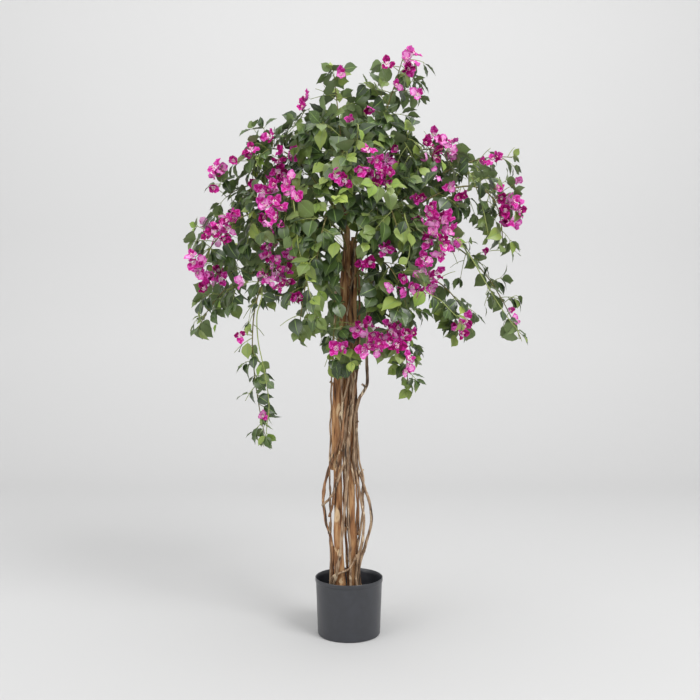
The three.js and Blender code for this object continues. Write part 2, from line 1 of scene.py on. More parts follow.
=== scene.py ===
import math
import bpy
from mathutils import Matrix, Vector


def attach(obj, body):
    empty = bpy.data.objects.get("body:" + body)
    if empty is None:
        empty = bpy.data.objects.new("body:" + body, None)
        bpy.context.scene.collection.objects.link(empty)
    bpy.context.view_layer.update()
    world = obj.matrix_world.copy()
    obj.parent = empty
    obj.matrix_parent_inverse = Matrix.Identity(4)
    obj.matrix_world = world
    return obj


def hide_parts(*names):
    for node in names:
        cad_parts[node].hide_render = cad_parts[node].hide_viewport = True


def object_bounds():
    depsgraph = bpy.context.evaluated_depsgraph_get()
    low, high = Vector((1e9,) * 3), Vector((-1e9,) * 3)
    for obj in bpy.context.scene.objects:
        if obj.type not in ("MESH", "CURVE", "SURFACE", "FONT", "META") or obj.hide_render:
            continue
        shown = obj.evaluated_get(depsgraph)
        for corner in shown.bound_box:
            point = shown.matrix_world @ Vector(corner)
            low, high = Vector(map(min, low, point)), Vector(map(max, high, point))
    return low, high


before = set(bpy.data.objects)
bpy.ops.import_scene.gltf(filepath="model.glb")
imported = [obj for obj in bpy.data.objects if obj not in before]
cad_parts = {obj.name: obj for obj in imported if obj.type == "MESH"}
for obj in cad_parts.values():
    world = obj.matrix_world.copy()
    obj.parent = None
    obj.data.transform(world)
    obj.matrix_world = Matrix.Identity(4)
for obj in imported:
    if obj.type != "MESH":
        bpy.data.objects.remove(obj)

from types import SimpleNamespace as Record

import bpy
import numpy as np
from mathutils import Vector, noise

cad_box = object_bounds()

# Sizes below are in millimetres and degrees, in the frame of the solids, whose rule this file repeats.
MM = 0.001

# The corners between which foliage grows: those of the solids' box, each moved a little.
LEAST_MOVED, MOST_MOVED = (-4, -12, 0), (-10, 10, 18)
LEAST = np.array(cad_box[0]) / MM + LEAST_MOVED
MOST = np.array(cad_box[1]) / MM + MOST_MOVED

# The pot and its fill. The wood stands just clear of the fill's top.
FILL_TOP = 105
FOOT = 105.3
FILL_FOOT = 5.3
FILL_CLEAR = 0.45
POT_HEIGHT = 145
POT_RIM_RADIUS = 87
POT_FOOT_RADIUS = 80
POT_WALL = 2.2
POT_FLOOR = 5
POT_BAND = 11
POT_BAND_PROUD = 1.6
CENTRE_HOLE = 0.5
FILL_HOLLOWS = 1.6

# Corners of the pot's profile. Near its foot they tell how far within the foot's radius, and how high. On its
# band they tell how far within the rim's radius, and how far above the band's foot or below the top.
POT_FOOT_EDGE = [(4.5, 0), (3, 0.15), (1.2, 1)]
POT_BAND_FOOT = [(0.9, 0.4), (0.4, 1.2)]
POT_LIP = [(0.1, 1.6), (0.25, 0.5), (0.9, 0), (1.7, 0.1), (POT_WALL, 0.7)]

# The wood.
MAIN_STEMS = [
    Record(name="stem_left", points=[(-24, -4), (-27, -5), (-29, -4), (-21, 0), (-9, 2), (-3, 3)],
           heights=[FOOT, 290, 480, 680, 890, 1130], radii=(12.2, 8.5), flare=3.5, lobes=0.5),
    Record(name="stem_right", points=[(15, 5), (6, 5), (5, 5), (5, 6), (13, 7), (13, 9)],
           heights=[FOOT, 290, 490, 640, 810, 1020], radii=(10.2, 6.5), flare=3, lobes=2.1),
]
MAIN_TAPER = 1.6
FLARE_HEIGHT = 45
LOBE_DEPTH = 0.07
LOBE_TURNS = (90, 60)
LIANAS = [
    ("liana_left_outer", FOOT, 575, 182, 322, 5, 33, 24, 27, 352, 165, 4.1),
    ("liana_left_inner", FOOT, 880, 184, 176, 1, 35, 37, 2, 380, 160, 2.6),
    ("liana_right_outer", FOOT, 800, 352, 372, 1, 25, 26, 44, 300, 172, 4),
    ("liana_right_middle", FOOT, 640, 338, 345, 1, 24, 26, 28, 290, 160, 3.8),
    ("liana_right_inner", FOOT, 560, 378, 352, 1, 25, 24, 24, 330, 175, 3.2),
    ("liana_right_thin", FOOT, 620, 362, 395, 2, 26, 24, 8, 340, 150, 2.5),
    ("liana_foot", FOOT, 700, 178, 318, 0.42, 40, 20, 0, 300, 100, 4),
    ("liana_front", FOOT, 790, 300, 200, 2.2, 20, 24, 0, 300, 100, 3.6),
    ("liana_cross_low", 300, 760, 186, 300, 0.6, 36, 22, 0, 300, 100, 3.2),
    ("liana_cross_high", 330, 720, 190, 335, 0.5, 51, 24, 0, 300, 100, 3.1),
    ("liana_back", FOOT, 860, 80, 120, 1, 22, 20, 4, 320, 160, 3.6),
]
LIANA_KEYS = "name low high azimuth azimuth_to winding hug hug_to bow bow_at bow_span radius".split()
LIANA_TAPER = 0.75
LIANA_PLACES = 24
LIMB_SAMPLES = 40
LIANA_SEAT = 0.8
PUSH_PASSES = 14
BRANCH = [(14, -9, 560), (25, -12, 600), (47, -15, 642), (45, -20, 700), (44, -26, 770), (48, -30, 830)]
BRANCH_RADII = (4.6, 3)
BRANCH_END = 0.97

# Finer strands that fill the bundle, and the stubs of cut twigs. Each strand has its radii and points, each
# stub its root, its reach and its radius.
STRANDS = [
    ((3, 2.4), [(-34, -13, 425), (-23, -23, 468), (-15, -26, 490), (-8, -27, 512), (-4, -25, 570),
                (14, -17, 610)]),
    ((2.8, 2.2), [(14, -16, 385), (6, -24, 432), (-3, -28, 457), (-12, -25, 482), (-19, -20, 510),
                  (-24, -15, 560)]),
    ((2.6, 2), [(-22, -18, 560), (-15, -23, 600), (-6, -25, 635), (2, -23, 665), (7, -17, 700)]),
    ((3.4, 2.6), [(-7, 0, 330), (-9, -2, 430), (-7, -4, 520), (-4, -4, 600), (-3, -3, 690), (2, -2, 770)]),
    ((2.8, 2.2), [(11, -8, 570), (15, -7, 620), (20, -4, 660), (25, -2, 705), (27, 0, 760)]),
    ((2.6, 2), [(24, 2, 250), (25, 4, 330), (22, 6, 420), (20, 4, 500), (21, 2, 560), (19, 0, 640)]),
    ((4.6, 3.2), [(-31, 2, 640), (-26, -1, 720), (-22, -3, 800), (-20, -3, 880), (-15, -1, 960),
                  (-9, 1, 1025)]),
    ((3.4, 2.6), [(8, 9, 560), (17, 6, 640), (24, 5, 720), (27, 5, 790), (26, 7, 860), (24, 7, 930),
                  (19, 7, 990)]),
    ((2.8, 2), [(-17, -12, 650), (-14, -12, 730), (-6, -9, 800), (3, -5, 870), (11, -2, 940),
                (14, 0, 1000)]),
    ((2.6, 1.8), [(20, -6, 700), (14, -5, 780), (4, -7, 860), (-6, -9, 930), (-10, -7, 990)]),
    ((3.6, 2.8), [(-50, -10, 106), (-46, -17, 132), (-38, -22, 150), (-20, -25, 160), (2, -23, 170),
                  (20, -12, 204)]),
]
STUBS = [
    ((-40, -5, 640), (-9, -3, 7), 2.8),
    ((17, -3, 536), (7, -4, 10), 2.4),
    ((-51, -5, 256), (1, -1, 30), 2.1),
    ((42, -15, 634), (-9, -3, 7), 2.8),
    ((-16, -14, 470), (6, -6, 5), 2.4),
    ((31, -2, 412), (6, -2, 9), 2),
]
BROWN_LIANAS = ("liana_left_outer", "liana_back", "liana_cross_low", "liana_right_thin")
PALE_STRANDS = (0, 1, 2, 8, 10)
THICK_STRANDS = [
    ((9, 11), [(-5, 9, 390), (-8, 9, 470), (-9, 8, 560), (-7, 8, 640), (-1, 9, 730), (3, 10, 870),
               (4, 11, 1010)]),
    ((7.8, 6), [(-39, -4, 420), (-38, -5, 520), (-36, -7, 600), (-33, -8, 660), (-28, -6, 720),
                (-20, -2, 800)]),
]
STRAND_SEED = 22
STUB_SWELL = (1.9, 1.4, 1.1, 1, 1, 1.05, 0.9)
WANDER = 3.2
WANDER_SPAN = 42
WANDER_SEED = 1

# The sprays: root height, azimuth, shoulder reach and height, turn, tip reach and height, bare share, bough
# or not, spread, shares where blossom stands, seed.
SPRAY_KEYS = "name root azimuth out shoulder turn reach tip bare bough spread blooms seed".split()
SPRAYS = [
    ("spire_right", 1085, -14, 78, 1285, 4, 142, 1480, 0.35, 0, 88, [0.76, 1], 27),
    ("spire_left", 1110, 150, 26, 1290, 0, 44, 1435, 0.3, 0, 92, [0.95], 28),
    ("upper_left", 1075, 190, 95, 1250, 0, 140, 1300, 0.3, 0, 88, [0.95], 29),
    ("upper_front", 1080, 262, 90, 1235, 8, 165, 1180, 0.25, 0, 110, [0.9], 61),
    ("upper_right", 1065, 335, 95, 1220, -4, 170, 1250, 0.25, 0, 105, [0.9], 31),
    ("upper_back", 1095, 84, 100, 1290, 0, 165, 1350, 0.3, 0, 105, [0.9], 32),
    ("left_high", 1040, 200, 155, 1215, -6, 238, 1200, 0.24, 1, 92, [0.6, 0.78, 0.96], 33),
    ("left_far", 1015, 172, 190, 1150, 0, 325, 1130, 0.28, 1, 92, [0.66, 0.97], 34),
    ("left_front", 980, 210, 215, 1070, -8, 360, 975, 0.28, 1, 92, [0.7, 0.86, 0.97], 35),
    ("left_back", 950, 160, 230, 1020, 0, 402, 890, 0.28, 1, 92, [0.7, 0.88], 36),
    ("left_low", 905, 186, 230, 930, 0, 375, 800, 0.3, 1, 85, [0.62], 77),
    ("left_tassel", 930, 206, 235, 890, -8, 222, 520, 0.42, 1, 52, [0.42, 0.72, 0.93], 118),
    ("inner_left", 1020, 226, 115, 1130, -4, 225, 1060, 0.25, 0, 105, [0.7, 0.95], 39),
    ("inner_left_low", 925, 230, 125, 950, 2, 190, 790, 0.25, 0, 95, [0.55, 0.9], 40),
    ("front_left", 980, 252, 140, 1060, -4, 205, 930, 0.25, 0, 90, [0.6], 41),
    ("front_right", 1000, 300, 130, 1110, 6, 200, 1010, 0.25, 0, 105, [0.74, 0.95], 42),
    ("front_right_low", 915, 312, 125, 945, 0, 205, 835, 0.25, 0, 95, [0.55, 0.94], 43),
    ("right_high", 1055, 6, 160, 1235, 0, 265, 1215, 0.24, 1, 92, [0.84, 0.98], 44),
    ("right_far", 1000, 12, 245, 1190, 0, 448, 1246, 0.34, 1, 74, [0.8, 0.9], 45),
    ("right_hanging", 975, -10, 300, 1140, 4, 390, 980, 0.3, 1, 80, [0.7, 0.84, 0.97], 46),
    ("right_tassel", 930, 6, 255, 1010, 0, 455, 758, 0.3, 1, 60, [0.93], 87),
    ("right_front", 960, -34, 165, 1070, 0, 250, 965, 0.24, 1, 92, [0.7, 0.86, 0.98], 48),
    ("right_low", 880, -14, 195, 915, 2, 310, 788, 0.3, 1, 76, [0.88], 49),
    ("low_front", 0, -40, 110, 852, -10, 185, 745, 0.2, 0, 84, [0.5, 0.8], 50),
    ("low_tail", 0, -20, 130, 790, -2, 158, 650, 0.25, 0, 58, [0.72], 51),
    ("low_left", 850, 250, 80, 820, -4, 118, 700, 0.3, 0, 80, [0.8], 52),
    ("back_left", 1025, 128, 190, 1130, 0, 300, 1020, 0.24, 1, 115, [0.7, 0.96], 62),
    ("back_right", 1010, 48, 190, 1120, 0, 300, 1040, 0.24, 1, 115, [0.7, 0.96], 54),
    ("back_low", 930, 92, 200, 960, 0, 318, 800, 0.3, 0, 110, [0.66, 0.92], 55),
]
RIGHTWARD = 0.2
STEM_RADII = (2.9, 1.1)
TWIG_EVERY = 30
TWIGS_AT_MOST = 12
TWIG_OPENING = 60
OPENING_VARIES = 16
TWIG_LENGTHS = (1.15, 0.65)
TWIG_VARIES = 0.6
TWIG_DROOP = 0.2
END_TWIG = 30
END_FROM = 0.97
TURN = 137.5
BLOOM_STALK = 34
BLOOM_SPAN = (0.03, 0.98)
STALK_OPENING = 80
STALK_OUTWARD = 1.2
STALK_LIFT = 0.2
STALK_SEED = 800

# Finer foliage, which the solids don't hold. Radii, sizes and shares in pairs go from root to tip. VARIES is
# a width of chance in a size, ASTRAY one in a direction.
BOUGH_STEPS = 40
TWIG_SHARE = 0.9
TWIG_RADII = (1.15, 0.7)
TWIG_ARCH = 0.14
TWIG_SHORTENED = 0.85
FORK_LENGTHS = (62, 95)
SIDE_TWIG = 42
SIDE_TWIG_PLACES = (0.34, 0.62)
SIDE_TWIG_RADII = (0.9, 0.6)
SIDE_TWIG_OPENING = 52
SIDE_TWIG_DROOP = 0.1
SIDE_TWIG_VARIES = 0.5
SIDE_LEAF, SIDE_LEAF_PLACE = 0.86, 0.55
LEAF_LENGTH = 50
LEAF_EVERY = 21
LEAF_THICK = 0.007
LEAF_BREADTH, BREADTH_VARIES = 0.92, 0.2
LEAF_OPENING, WIDE_OPENING = 58, 60
LEAF_VARIES = 0.3
LEAF_DROOP = 0.38
LEAF_ASTRAY = 0.3
LEAVES_ALONG = (0.22, 0.9)
LEAF_SIZES = (1.08, 0.78)
FACING_OUT, FACING_UP, FACING_ASTRAY = 0.9, 0.75, 1.1
PETIOLE = 8
PETIOLE_ARCH = 0.6
PETIOLE_RADII = (0.75, 0.5)
YOUNG_LENGTH = 27
YOUNG_SHARES = (0.1, 0.34)
TUFT_LEAF = 1.35
TUFT_VARIES = 0.4
TUFT_OPENING, TUFT_END_OPENING = 48, 16
NARROW_SPREAD, SPREAD_SPAN, SMALL_SCALE = 50, 45, 0.72
END_SHARE, END_SCALE = 0.6, 0.85
SHADE_BOUNDS = (0.34, 0.67, 0.91)
SHADE_GAIN = 0.3
YOUNG_BOUNDS = (0.35, 0.88)
ANY_SHAPE = 97

# Blossom. TUBE_LENGTH, TUBE_ASIDE, HUB_BEHIND and CLUSTER_PITCH are shares of the bracts' length.
BRACT_LENGTH = 24
TASSEL_BRACT = 20
TASSEL_SPREAD = 62
BRACT_THICK = 0.012
BRACT_OPENINGS = (30, 72)
BRACT_ASTRAY, BRACT_TWIST = 0.12, 0.25
BRACT_VARIES = 0.35
BRACT_ASIDE = 0.6
BRACT_BOUNDS = (0.34, 0.66)
FLOWER_ALIKE = 0.65
FLOWER_VARIES = 0.2
FLOWER_STALK_RADII = (0.7, 0.6, 0.6)
TUBE_LENGTH, TUBE_ASIDE = 0.42, 0.08
TUBE_RADII = (0.45, 0.5, 0.7)
STAR_HEIGHTS, STAR_RADII = (0, 1.1, 1.6), (0.7, 1.2, 0.5)
HUB_BEHIND = 0.8
CLUSTER_ARCH = 0.08
CLUSTER_ASTRAY = 1.1
CLUSTER_PITCH = 0.52
CLUSTER_TWIG_RADII = (1.1, 0.8)
FLOWER_SHARE = 0.72
BACK_BLOOM = 4
CLEAR_RADIUS, CLEAR_PER_FLOWER = 15, 9
CLEAR_FROM, CLEAR_TO = -10, 240

# Where no leaf grows: round the trunk's axis below its top, and before it, in bands of height.
TRUNK_TOP = 1035
TRUNK_CLEAR = 40
BARE_LEFT, BARE_RIGHT = -22, 26
BARE_BANDS = ((0, 676), (808, 1030))

# The view: the camera's place and lens, and the photograph's size in pixels.
EYE = (2.6, -2130, 728)
LENS = 42.5
SENSOR = 36
PIXELS = 700
FOCUS = LENS / SENSOR * PIXELS

# Where clusters of blossom show in that view: column, row and number of flowers.
CLUSTERS = [
    (408, 61, 4), (410, 69, 2), (388, 64, 2), (396, 85, 1), (418, 95, 1), (341, 75, 1),
    (308, 97, 2), (303, 108, 2), (270, 136, 2), (284, 152, 3), (250, 155, 3), (218, 172, 4),
    (232, 160, 2), (213, 187, 1), (278, 170, 5), (286, 186, 5), (270, 190, 4), (295, 198, 1), (266, 208, 6),
    (278, 218, 5), (252, 182, 1), (214, 232, 6), (228, 222, 4), (236, 216, 2), (192, 256, 3),
    (203, 264, 3), (213, 274, 5), (207, 286, 3), (196, 272, 2), (270, 256, 5), (279, 270, 6),
    (285, 284, 4), (266, 276, 4), (289, 258, 3), (302, 297, 3), (263, 239, 1), (244, 282, 2),
    (240, 335, 2), (262, 415, 2), (345, 180, 2), (336, 177, 1), (360, 169, 1), (352, 121, 2),
    (372, 109, 1), (371, 158, 5), (386, 160, 4), (378, 176, 5), (389, 174, 3), (424, 145, 3),
    (440, 141, 4), (450, 149, 4), (434, 156, 4), (397, 148, 2), (480, 163, 2), (494, 160, 3),
    (433, 176, 1), (462, 194, 3), (450, 186, 1), (424, 199, 3), (430, 214, 5), (442, 222, 5),
    (434, 234, 5), (445, 246, 5), (502, 196, 4), (512, 207, 5), (508, 222, 5), (485, 252, 2),
    (518, 183, 1), (510, 311, 2), (515, 322, 2), (466, 320, 3), (461, 334, 3), (371, 262, 3),
    (384, 251, 3), (391, 287, 2), (427, 264, 4), (431, 280, 5), (412, 287, 4), (404, 278, 2),
    (362, 326, 3), (374, 334, 6), (390, 331, 5), (406, 333, 5), (367, 345, 3), (395, 345, 3),
    (380, 344, 3), (409, 363, 3), (405, 371, 1), (337, 349, 3),
]
CLUSTER_AHEAD = 42
CLUSTER_AHEAD_BEHIND = 30
CLUSTER_BEHIND = 60
CLUSTER_OUTWARD = 0.35

# Where single leafy twigs end in that view, and where the sky shows: column, row and radius.
TWIG_ENDS = [
    (250, 123), (262, 122), (256, 150), (235, 182), (240, 196), (192, 222), (216, 255), (195, 313),
    (199, 324), (217, 312), (325, 340), (415, 335), (420, 357), (502, 297), (522, 292), (512, 318),
    (477, 256), (506, 275), (447, 322), (437, 312), (442, 288), (417, 292), (510, 177), (517, 153),
    (457, 195), (425, 83), (424, 98), (396, 122), (372, 88), (330, 66), (346, 70), (293, 117),
    (360, 97), (240, 362), (264, 375), (259, 415), (300, 328), (290, 275), (396, 365), (412, 380),
    (190, 270), (275, 132), (345, 330), (333, 352), (342, 366), (352, 362), (360, 355), (524, 337),
    (375, 350), (253, 345), (262, 395), (230, 293), (518, 190), (258, 140), (420, 345), (190, 235),
    (346, 214), (352, 204), (337, 221), (347, 229), (331, 232), (310, 240), (322, 250), (356, 218),
]
SKY = [
    (451, 265, 18), (450, 245, 8), (472, 270, 6), (322, 375, 10), (517, 344, 9), (285, 317, 12),
    (277, 327, 8), (265, 336, 10), (246, 317, 8), (260, 320, 8), (235, 355, 7), (265, 355, 6),
    (497, 262, 9), (514, 262, 8), (216, 195, 10), (180, 240, 8), (182, 258, 9), (310, 82, 13),
    (382, 54, 8), (400, 40, 9), (355, 76, 9), (284, 106, 8), (240, 143, 8), (222, 160, 7),
    (432, 120, 11), (450, 130, 6), (466, 143, 7), (482, 144, 6), (497, 142, 7), (511, 142, 8),
    (502, 165, 7), (427, 65, 5), (283, 336, 8), (480, 305, 9), (470, 285, 8), (447, 346, 8),
    (495, 322, 8), (247, 405, 7), (525, 210, 4), (314, 290, 9), (325, 357, 5),
    (318, 197, 5), (243, 112, 7), (466, 233, 6), (234, 330, 7), (374, 361, 6), (420, 130, 9),
    (460, 352, 8), (474, 341, 7), (312, 338, 8), (318, 358, 8), (372, 60, 7), (424, 62, 8),
    (353, 63, 5), (235, 152, 7), (184, 249, 6), (195, 341, 8), (222, 329, 7), (500, 256, 8),
]
TWIG_AHEAD = 12
TUFT_REACH = 16
FRONT_SPAN = 24
FRONT_SIDE, BACK_SIDE = 1, -1
BACK_FLOWERS = 4
STEM_FROM = 0.25
BARE_SHARE = 0.9
DEPTH_COST = 0.05

# Long bare shoots that hang before the crown in that view, through columns and rows.
SHOOTS = [
    [(293, 200), (296, 222), (298, 245), (303, 265), (309, 290), (316, 318)],
    [(405, 217), (410, 235), (409, 255), (405, 268)],
    [(469, 172), (475, 185), (482, 205), (487, 228), (489, 240)],
    [(262, 296), (257, 315), (258, 340), (262, 360), (266, 380), (269, 405), (267, 425), (266, 435)],
    [(455, 238), (470, 256), (484, 280), (496, 300), (508, 318), (516, 328), (521, 334)],
    [(425, 290), (440, 300), (452, 312), (462, 322)],
    [(358, 125), (357, 140), (352, 160), (346, 172)],
]
SHOOT_LEAF_EVERY = 42
SHOOT_RADII = (1.7, 0.9)
SHOOT_SIZES = (1.3, 0.9)
SHOOT_SHARE, SHOOT_SCALE = 0.8, 0.8
SHOOT_YOUNG = 0.3

# The seeds of the draws for each spray's leaves, for the clusters and for the shoots.
LEAF_SEED, CLUSTER_SEED, SHOOT_SEED = 1600, 2400, 2500


# Numbers, curves and directions.
def stream(seed):
    state = (seed * 7919 + 17) & 0xFFFFFFFF

    def step():
        nonlocal state
        state = (state * 1664525 + 1013904223) & 0xFFFFFFFF
        return state / 2**32

    return step


def mix(a, b, t):
    return a + (b - a) * t


def varied(random, spread):
    return 1 + spread * (random() - 0.5)


def vector(*places):
    return np.array(places, float)


def polar(azimuth, reach, height):
    angle = math.radians(azimuth)
    return vector(reach * math.cos(angle), reach * math.sin(angle), height)


def unit(v):
    return v / max(np.linalg.norm(v), 1e-9)


def outward_from(point):
    return unit(vector(point[0], point[1], 0))


def scattered(random):
    return vector(random() - 0.5, random() - 0.5, random() - 0.5)


def curve_through(points):
    """A uniform Catmull-Rom curve, as a function from shares of its spans to points."""
    inner = np.array(points, float)
    ends = [2 * inner[0] - inner[1]], [2 * inner[-1] - inner[-2]]
    all_points = np.concatenate([ends[0], inner, ends[1]])
    spans = len(inner) - 1

    def at(t):
        p = np.clip(np.atleast_1d(t), 0, 1) * spans
        i = np.minimum(p.astype(int), spans - 1)
        w = (p - i)[:, None]
        a, b, c, d = (all_points[i + k] for k in range(4))
        leave, arrive = (c - a) / 2, (d - b) / 2
        square = 3 * (c - b) - 2 * leave - arrive
        cube = 2 * (b - c) + leave + arrive
        return b + leave * w + square * w**2 + cube * w**3

    return at


def bent(root, control, tip):
    def at(t):
        w = np.clip(np.atleast_1d(t), 0, 1)[:, None]
        return (1 - w) ** 2 * root + 2 * w * (1 - w) * control + w**2 * tip

    return at


def point_of(limb, t):
    return limb.at(t)[0]


def tangent_of(limb, t):
    low, high = limb.at([max(0, t - 1e-4), min(1, t + 1e-4)])
    return unit(high - low)


def with_samples(limb):
    shares = np.linspace(0, 1, LIMB_SAMPLES + 1)
    limb.line = limb.at(shares)
    limb.widths = limb.radius_at(shares, 0)
    return limb


def free_distance(limb, point):
    start, along = limb.line[:-1], np.diff(limb.line, axis=0)
    t = np.clip(((point - start) * along).sum(1) / (along**2).sum(1), 0, 1)
    reach = np.linalg.norm(start + along * t[:, None] - point, axis=1)
    return (reach - mix(limb.widths[:-1], limb.widths[1:], t)).min()


def opened_from(limb, t, opening, turn):
    tangent = tangent_of(limb, t)
    side = unit(limb.side - tangent * (limb.side @ tangent))
    other = np.cross(side, tangent)
    a, b = math.radians(opening), math.radians(turn)
    return tangent * math.cos(a) + side * math.sin(a) * math.cos(b) + other * math.sin(a) * math.sin(b)


# Limbs, by the rule of the solids.
EAST = vector(1, 0, 0)


def tapering(first, last):
    """A radius that falls evenly from a limb's root to its tip, the same all round."""

    def radius_at(t, turn):
        return mix(first, last, t) + 0 * turn

    return radius_at


def main_stem(s):
    at = curve_through([(x, y, z) for (x, y), z in zip(s.points, s.heights)])
    length = s.heights[-1] - s.heights[0]

    def radius_at(t, turn):
        rise = t * length
        slow, fast = rise / LOBE_TURNS[0], rise / LOBE_TURNS[1]
        lobe = np.cos(2 * turn + s.lobes + slow) + 0.6 * np.cos(3 * turn - fast)
        plain = mix(s.radii[0], s.radii[1], t**MAIN_TAPER) + s.flare * np.exp(-rise / FLARE_HEIGHT)
        return plain * (1 + LOBE_DEPTH * lobe)

    return with_samples(Record(name=s.name, at=at, radius_at=radius_at, side=EAST))


def place_at(stem, height):
    line = stem.line
    above = max(1, int(np.argmax(line[:, 2] >= height)))
    low, high = line[above - 1], line[above]
    place = mix(low, high, (height - low[2]) / (high[2] - low[2]))
    place[2] = height
    return place


def liana(row, stems, limbs):
    s = Record(**dict(zip(LIANA_KEYS, row)))
    places = []
    for i in range(LIANA_PLACES + 1):
        share = i / LIANA_PLACES
        height = mix(s.low, s.high, share)
        middle = mix(place_at(stems[0], height), place_at(stems[1], height), 0.5)
        off = min(1, abs(height - s.bow_at) / s.bow_span)
        hug = mix(s.hug, s.hug_to, share) + s.bow * math.cos(off * math.pi / 2) ** 2
        place = polar(mix(s.azimuth, s.azimuth_to, share**s.winding), hug, 0) + middle
        out = unit((place - middle) * (1, 1, 0))
        for _ in range(PUSH_PASSES):
            for limb in limbs:
                short = s.radius - LIANA_SEAT - free_distance(limb, place)
                if short > 0:
                    place = place + out * short
        places.append(place)
    places = np.array(places)
    smooth = places.copy()
    smooth[1:-1] = (places[:-2] + places[2:] + 2 * places[1:-1]) / 4
    radius_at = tapering(s.radius, s.radius * LIANA_TAPER)
    return with_samples(Record(name=s.name, at=curve_through(smooth), radius_at=radius_at, side=EAST))


def strand(radii, points, name=None):
    return Record(name=name, at=curve_through(points), radius_at=tapering(*radii), side=EAST)


def spray_limb(s, stems, carrier):
    left, right = stems
    rightward = math.cos(math.radians(s.azimuth)) > RIGHTWARD and s.root < right.line[-1, 2]
    root = place_at(right if rightward else left, s.root) if s.root else point_of(carrier, BRANCH_END)
    shoulder = polar(s.azimuth, s.out, s.shoulder)
    tip = polar(s.azimuth + s.turn, s.reach, s.tip)
    at = bent(root, 2 * shoulder - root / 2 - tip / 2, tip)
    return Record(at=at, radius_at=tapering(*STEM_RADII), side=polar(s.azimuth + 90, 1, 0))


def mass_stem(s, limb):
    """The stem of a spray's mass, without the bough that carries it."""
    low = s.bare if s.bough else 0

    def at(t):
        return limb.at(mix(low, 1, np.atleast_1d(t)))

    return Record(at=at, side=limb.side)


def length_of(limb):
    return np.linalg.norm(np.diff(limb.at(np.linspace(0, 1, 60)), axis=0), axis=1).sum()


def twigs_of(s, stem):
    random = stream(s.seed)
    leafy_from = 0 if s.bough else s.bare
    leafy = length_of(stem) * (1 - leafy_from)
    count = min(TWIGS_AT_MOST, max(3, round(leafy / TWIG_EVERY)))
    first = random() * 360
    twigs = []
    for i in range(count):
        share = (i + 0.5) / count
        t = mix(leafy_from, 1, share)
        opening = TWIG_OPENING + OPENING_VARIES * (random() - 0.5)
        length = s.spread * mix(*TWIG_LENGTHS, share) * varied(random, TWIG_VARIES)
        reach = opened_from(stem, t, opening, first + i * TURN) + vector(0, 0, -TWIG_DROOP)
        twigs.append(Record(start=point_of(stem, t), reach=reach * length, share=share))
    onward = tangent_of(stem, 1) * END_TWIG
    twigs.append(Record(start=point_of(stem, END_FROM), reach=onward, share=1))
    return twigs


def shown(points):
    """The columns and rows at which points show in the view."""
    scale = FOCUS / (points[:, 1] - EYE[1])
    return PIXELS / 2 + (points[:, 0] - EYE[0]) * scale, PIXELS / 2 - (points[:, 2] - EYE[2]) * scale


def seen_at(column, row, y):
    """The place at a depth that shows at a pixel of the view."""
    scale = (y - EYE[1]) / FOCUS
    return vector(EYE[0] + (column - PIXELS / 2) * scale, y, EYE[2] - (row - PIXELS / 2) * scale)


def nearest_stem(column, row, grown, side=FRONT_SIDE):
    """The spray whose stem shows nearest to a pixel, rather on the side asked for, and the place on it."""
    least = math.inf
    for s, limb in grown:
        line = limb.at(np.linspace(max(STEM_FROM, BARE_SHARE * s.bare), 1, 60))
        columns, rows = shown(line)
        cost = np.hypot(columns - column, rows - row) + DEPTH_COST * side * line[:, 1]
        if cost.min() < least:
            least, start, spray = cost.min(), line[cost.argmin()], s
    return spray, start


def outermost(column, row, grown, side=FRONT_SIDE):
    """The depth, on one side, of the outermost stem that shows near a pixel."""
    least = math.inf
    for _, limb in grown:
        line = limb.at(np.linspace(STEM_FROM, 1, 40))
        columns, rows = shown(line)
        near = np.hypot(columns - column, rows - row) < FRONT_SPAN
        least = min(least, (side * line[near, 1]).min(initial=math.inf))
    return side * least


def within_depth(y):
    return min(max(y, LEAST[1] + BRACT_LENGTH), MOST[1] - BRACT_LENGTH)


def cluster_at(column, row, flowers, grown, side=FRONT_SIDE):
    spray, start = nearest_stem(column, row, grown, side)
    ahead = CLUSTER_AHEAD if start[1] < CLUSTER_BEHIND else CLUSTER_AHEAD_BEHIND
    surface = side * outermost(column, row, grown, side) - CLUSTER_AHEAD_BEHIND
    y = side * min(side * start[1] - ahead, surface)
    middle = seen_at(column, row, within_depth(y))
    outward = unit(vector(0, -side, 0) + CLUSTER_OUTWARD * outward_from(middle))
    size = TASSEL_BRACT if spray.spread < TASSEL_SPREAD else BRACT_LENGTH
    flowers = max(1, round(FLOWER_SHARE * flowers))
    return Record(start=start, middle=middle, flowers=flowers, outward=outward, size=size)


def twig_to(column, row, grown):
    spray, start = nearest_stem(column, row, grown)
    reach = seen_at(column, row, start[1] - TWIG_AHEAD) - start
    return Record(name=spray.name, start=start, reach=reach - unit(reach) * TUFT_REACH)


def shoot_through(places, grown):
    """A long thin shoot from the nearest stem down through pixels of the view."""
    start = nearest_stem(*places[0], grown)[1]
    y = within_depth(min(start[1], outermost(*places[0], grown)) - CLUSTER_AHEAD)
    return Record(at=curve_through([start] + [seen_at(*place, y) for place in places]), side=EAST)


def stalks_of(s, stem):
    random = stream(s.seed + STALK_SEED)
    stalks = []
    for share in s.blooms:
        t = (share - s.bare) / (1 - s.bare) if s.bough else share
        along = min(max(t, BLOOM_SPAN[0]), BLOOM_SPAN[1])
        start = point_of(stem, along)
        lean = opened_from(stem, along, STALK_OPENING, 360 * random())
        reach = outward_from(start) * STALK_OUTWARD + lean + vector(0, 0, STALK_LIFT)
        stalks.append((start, unit(reach) * BLOOM_STALK))
    return stalks


# Meshes and objects.
def linked(name, data):
    made = bpy.data.objects.new(name, data)
    bpy.context.scene.collection.objects.link(made)
    return made


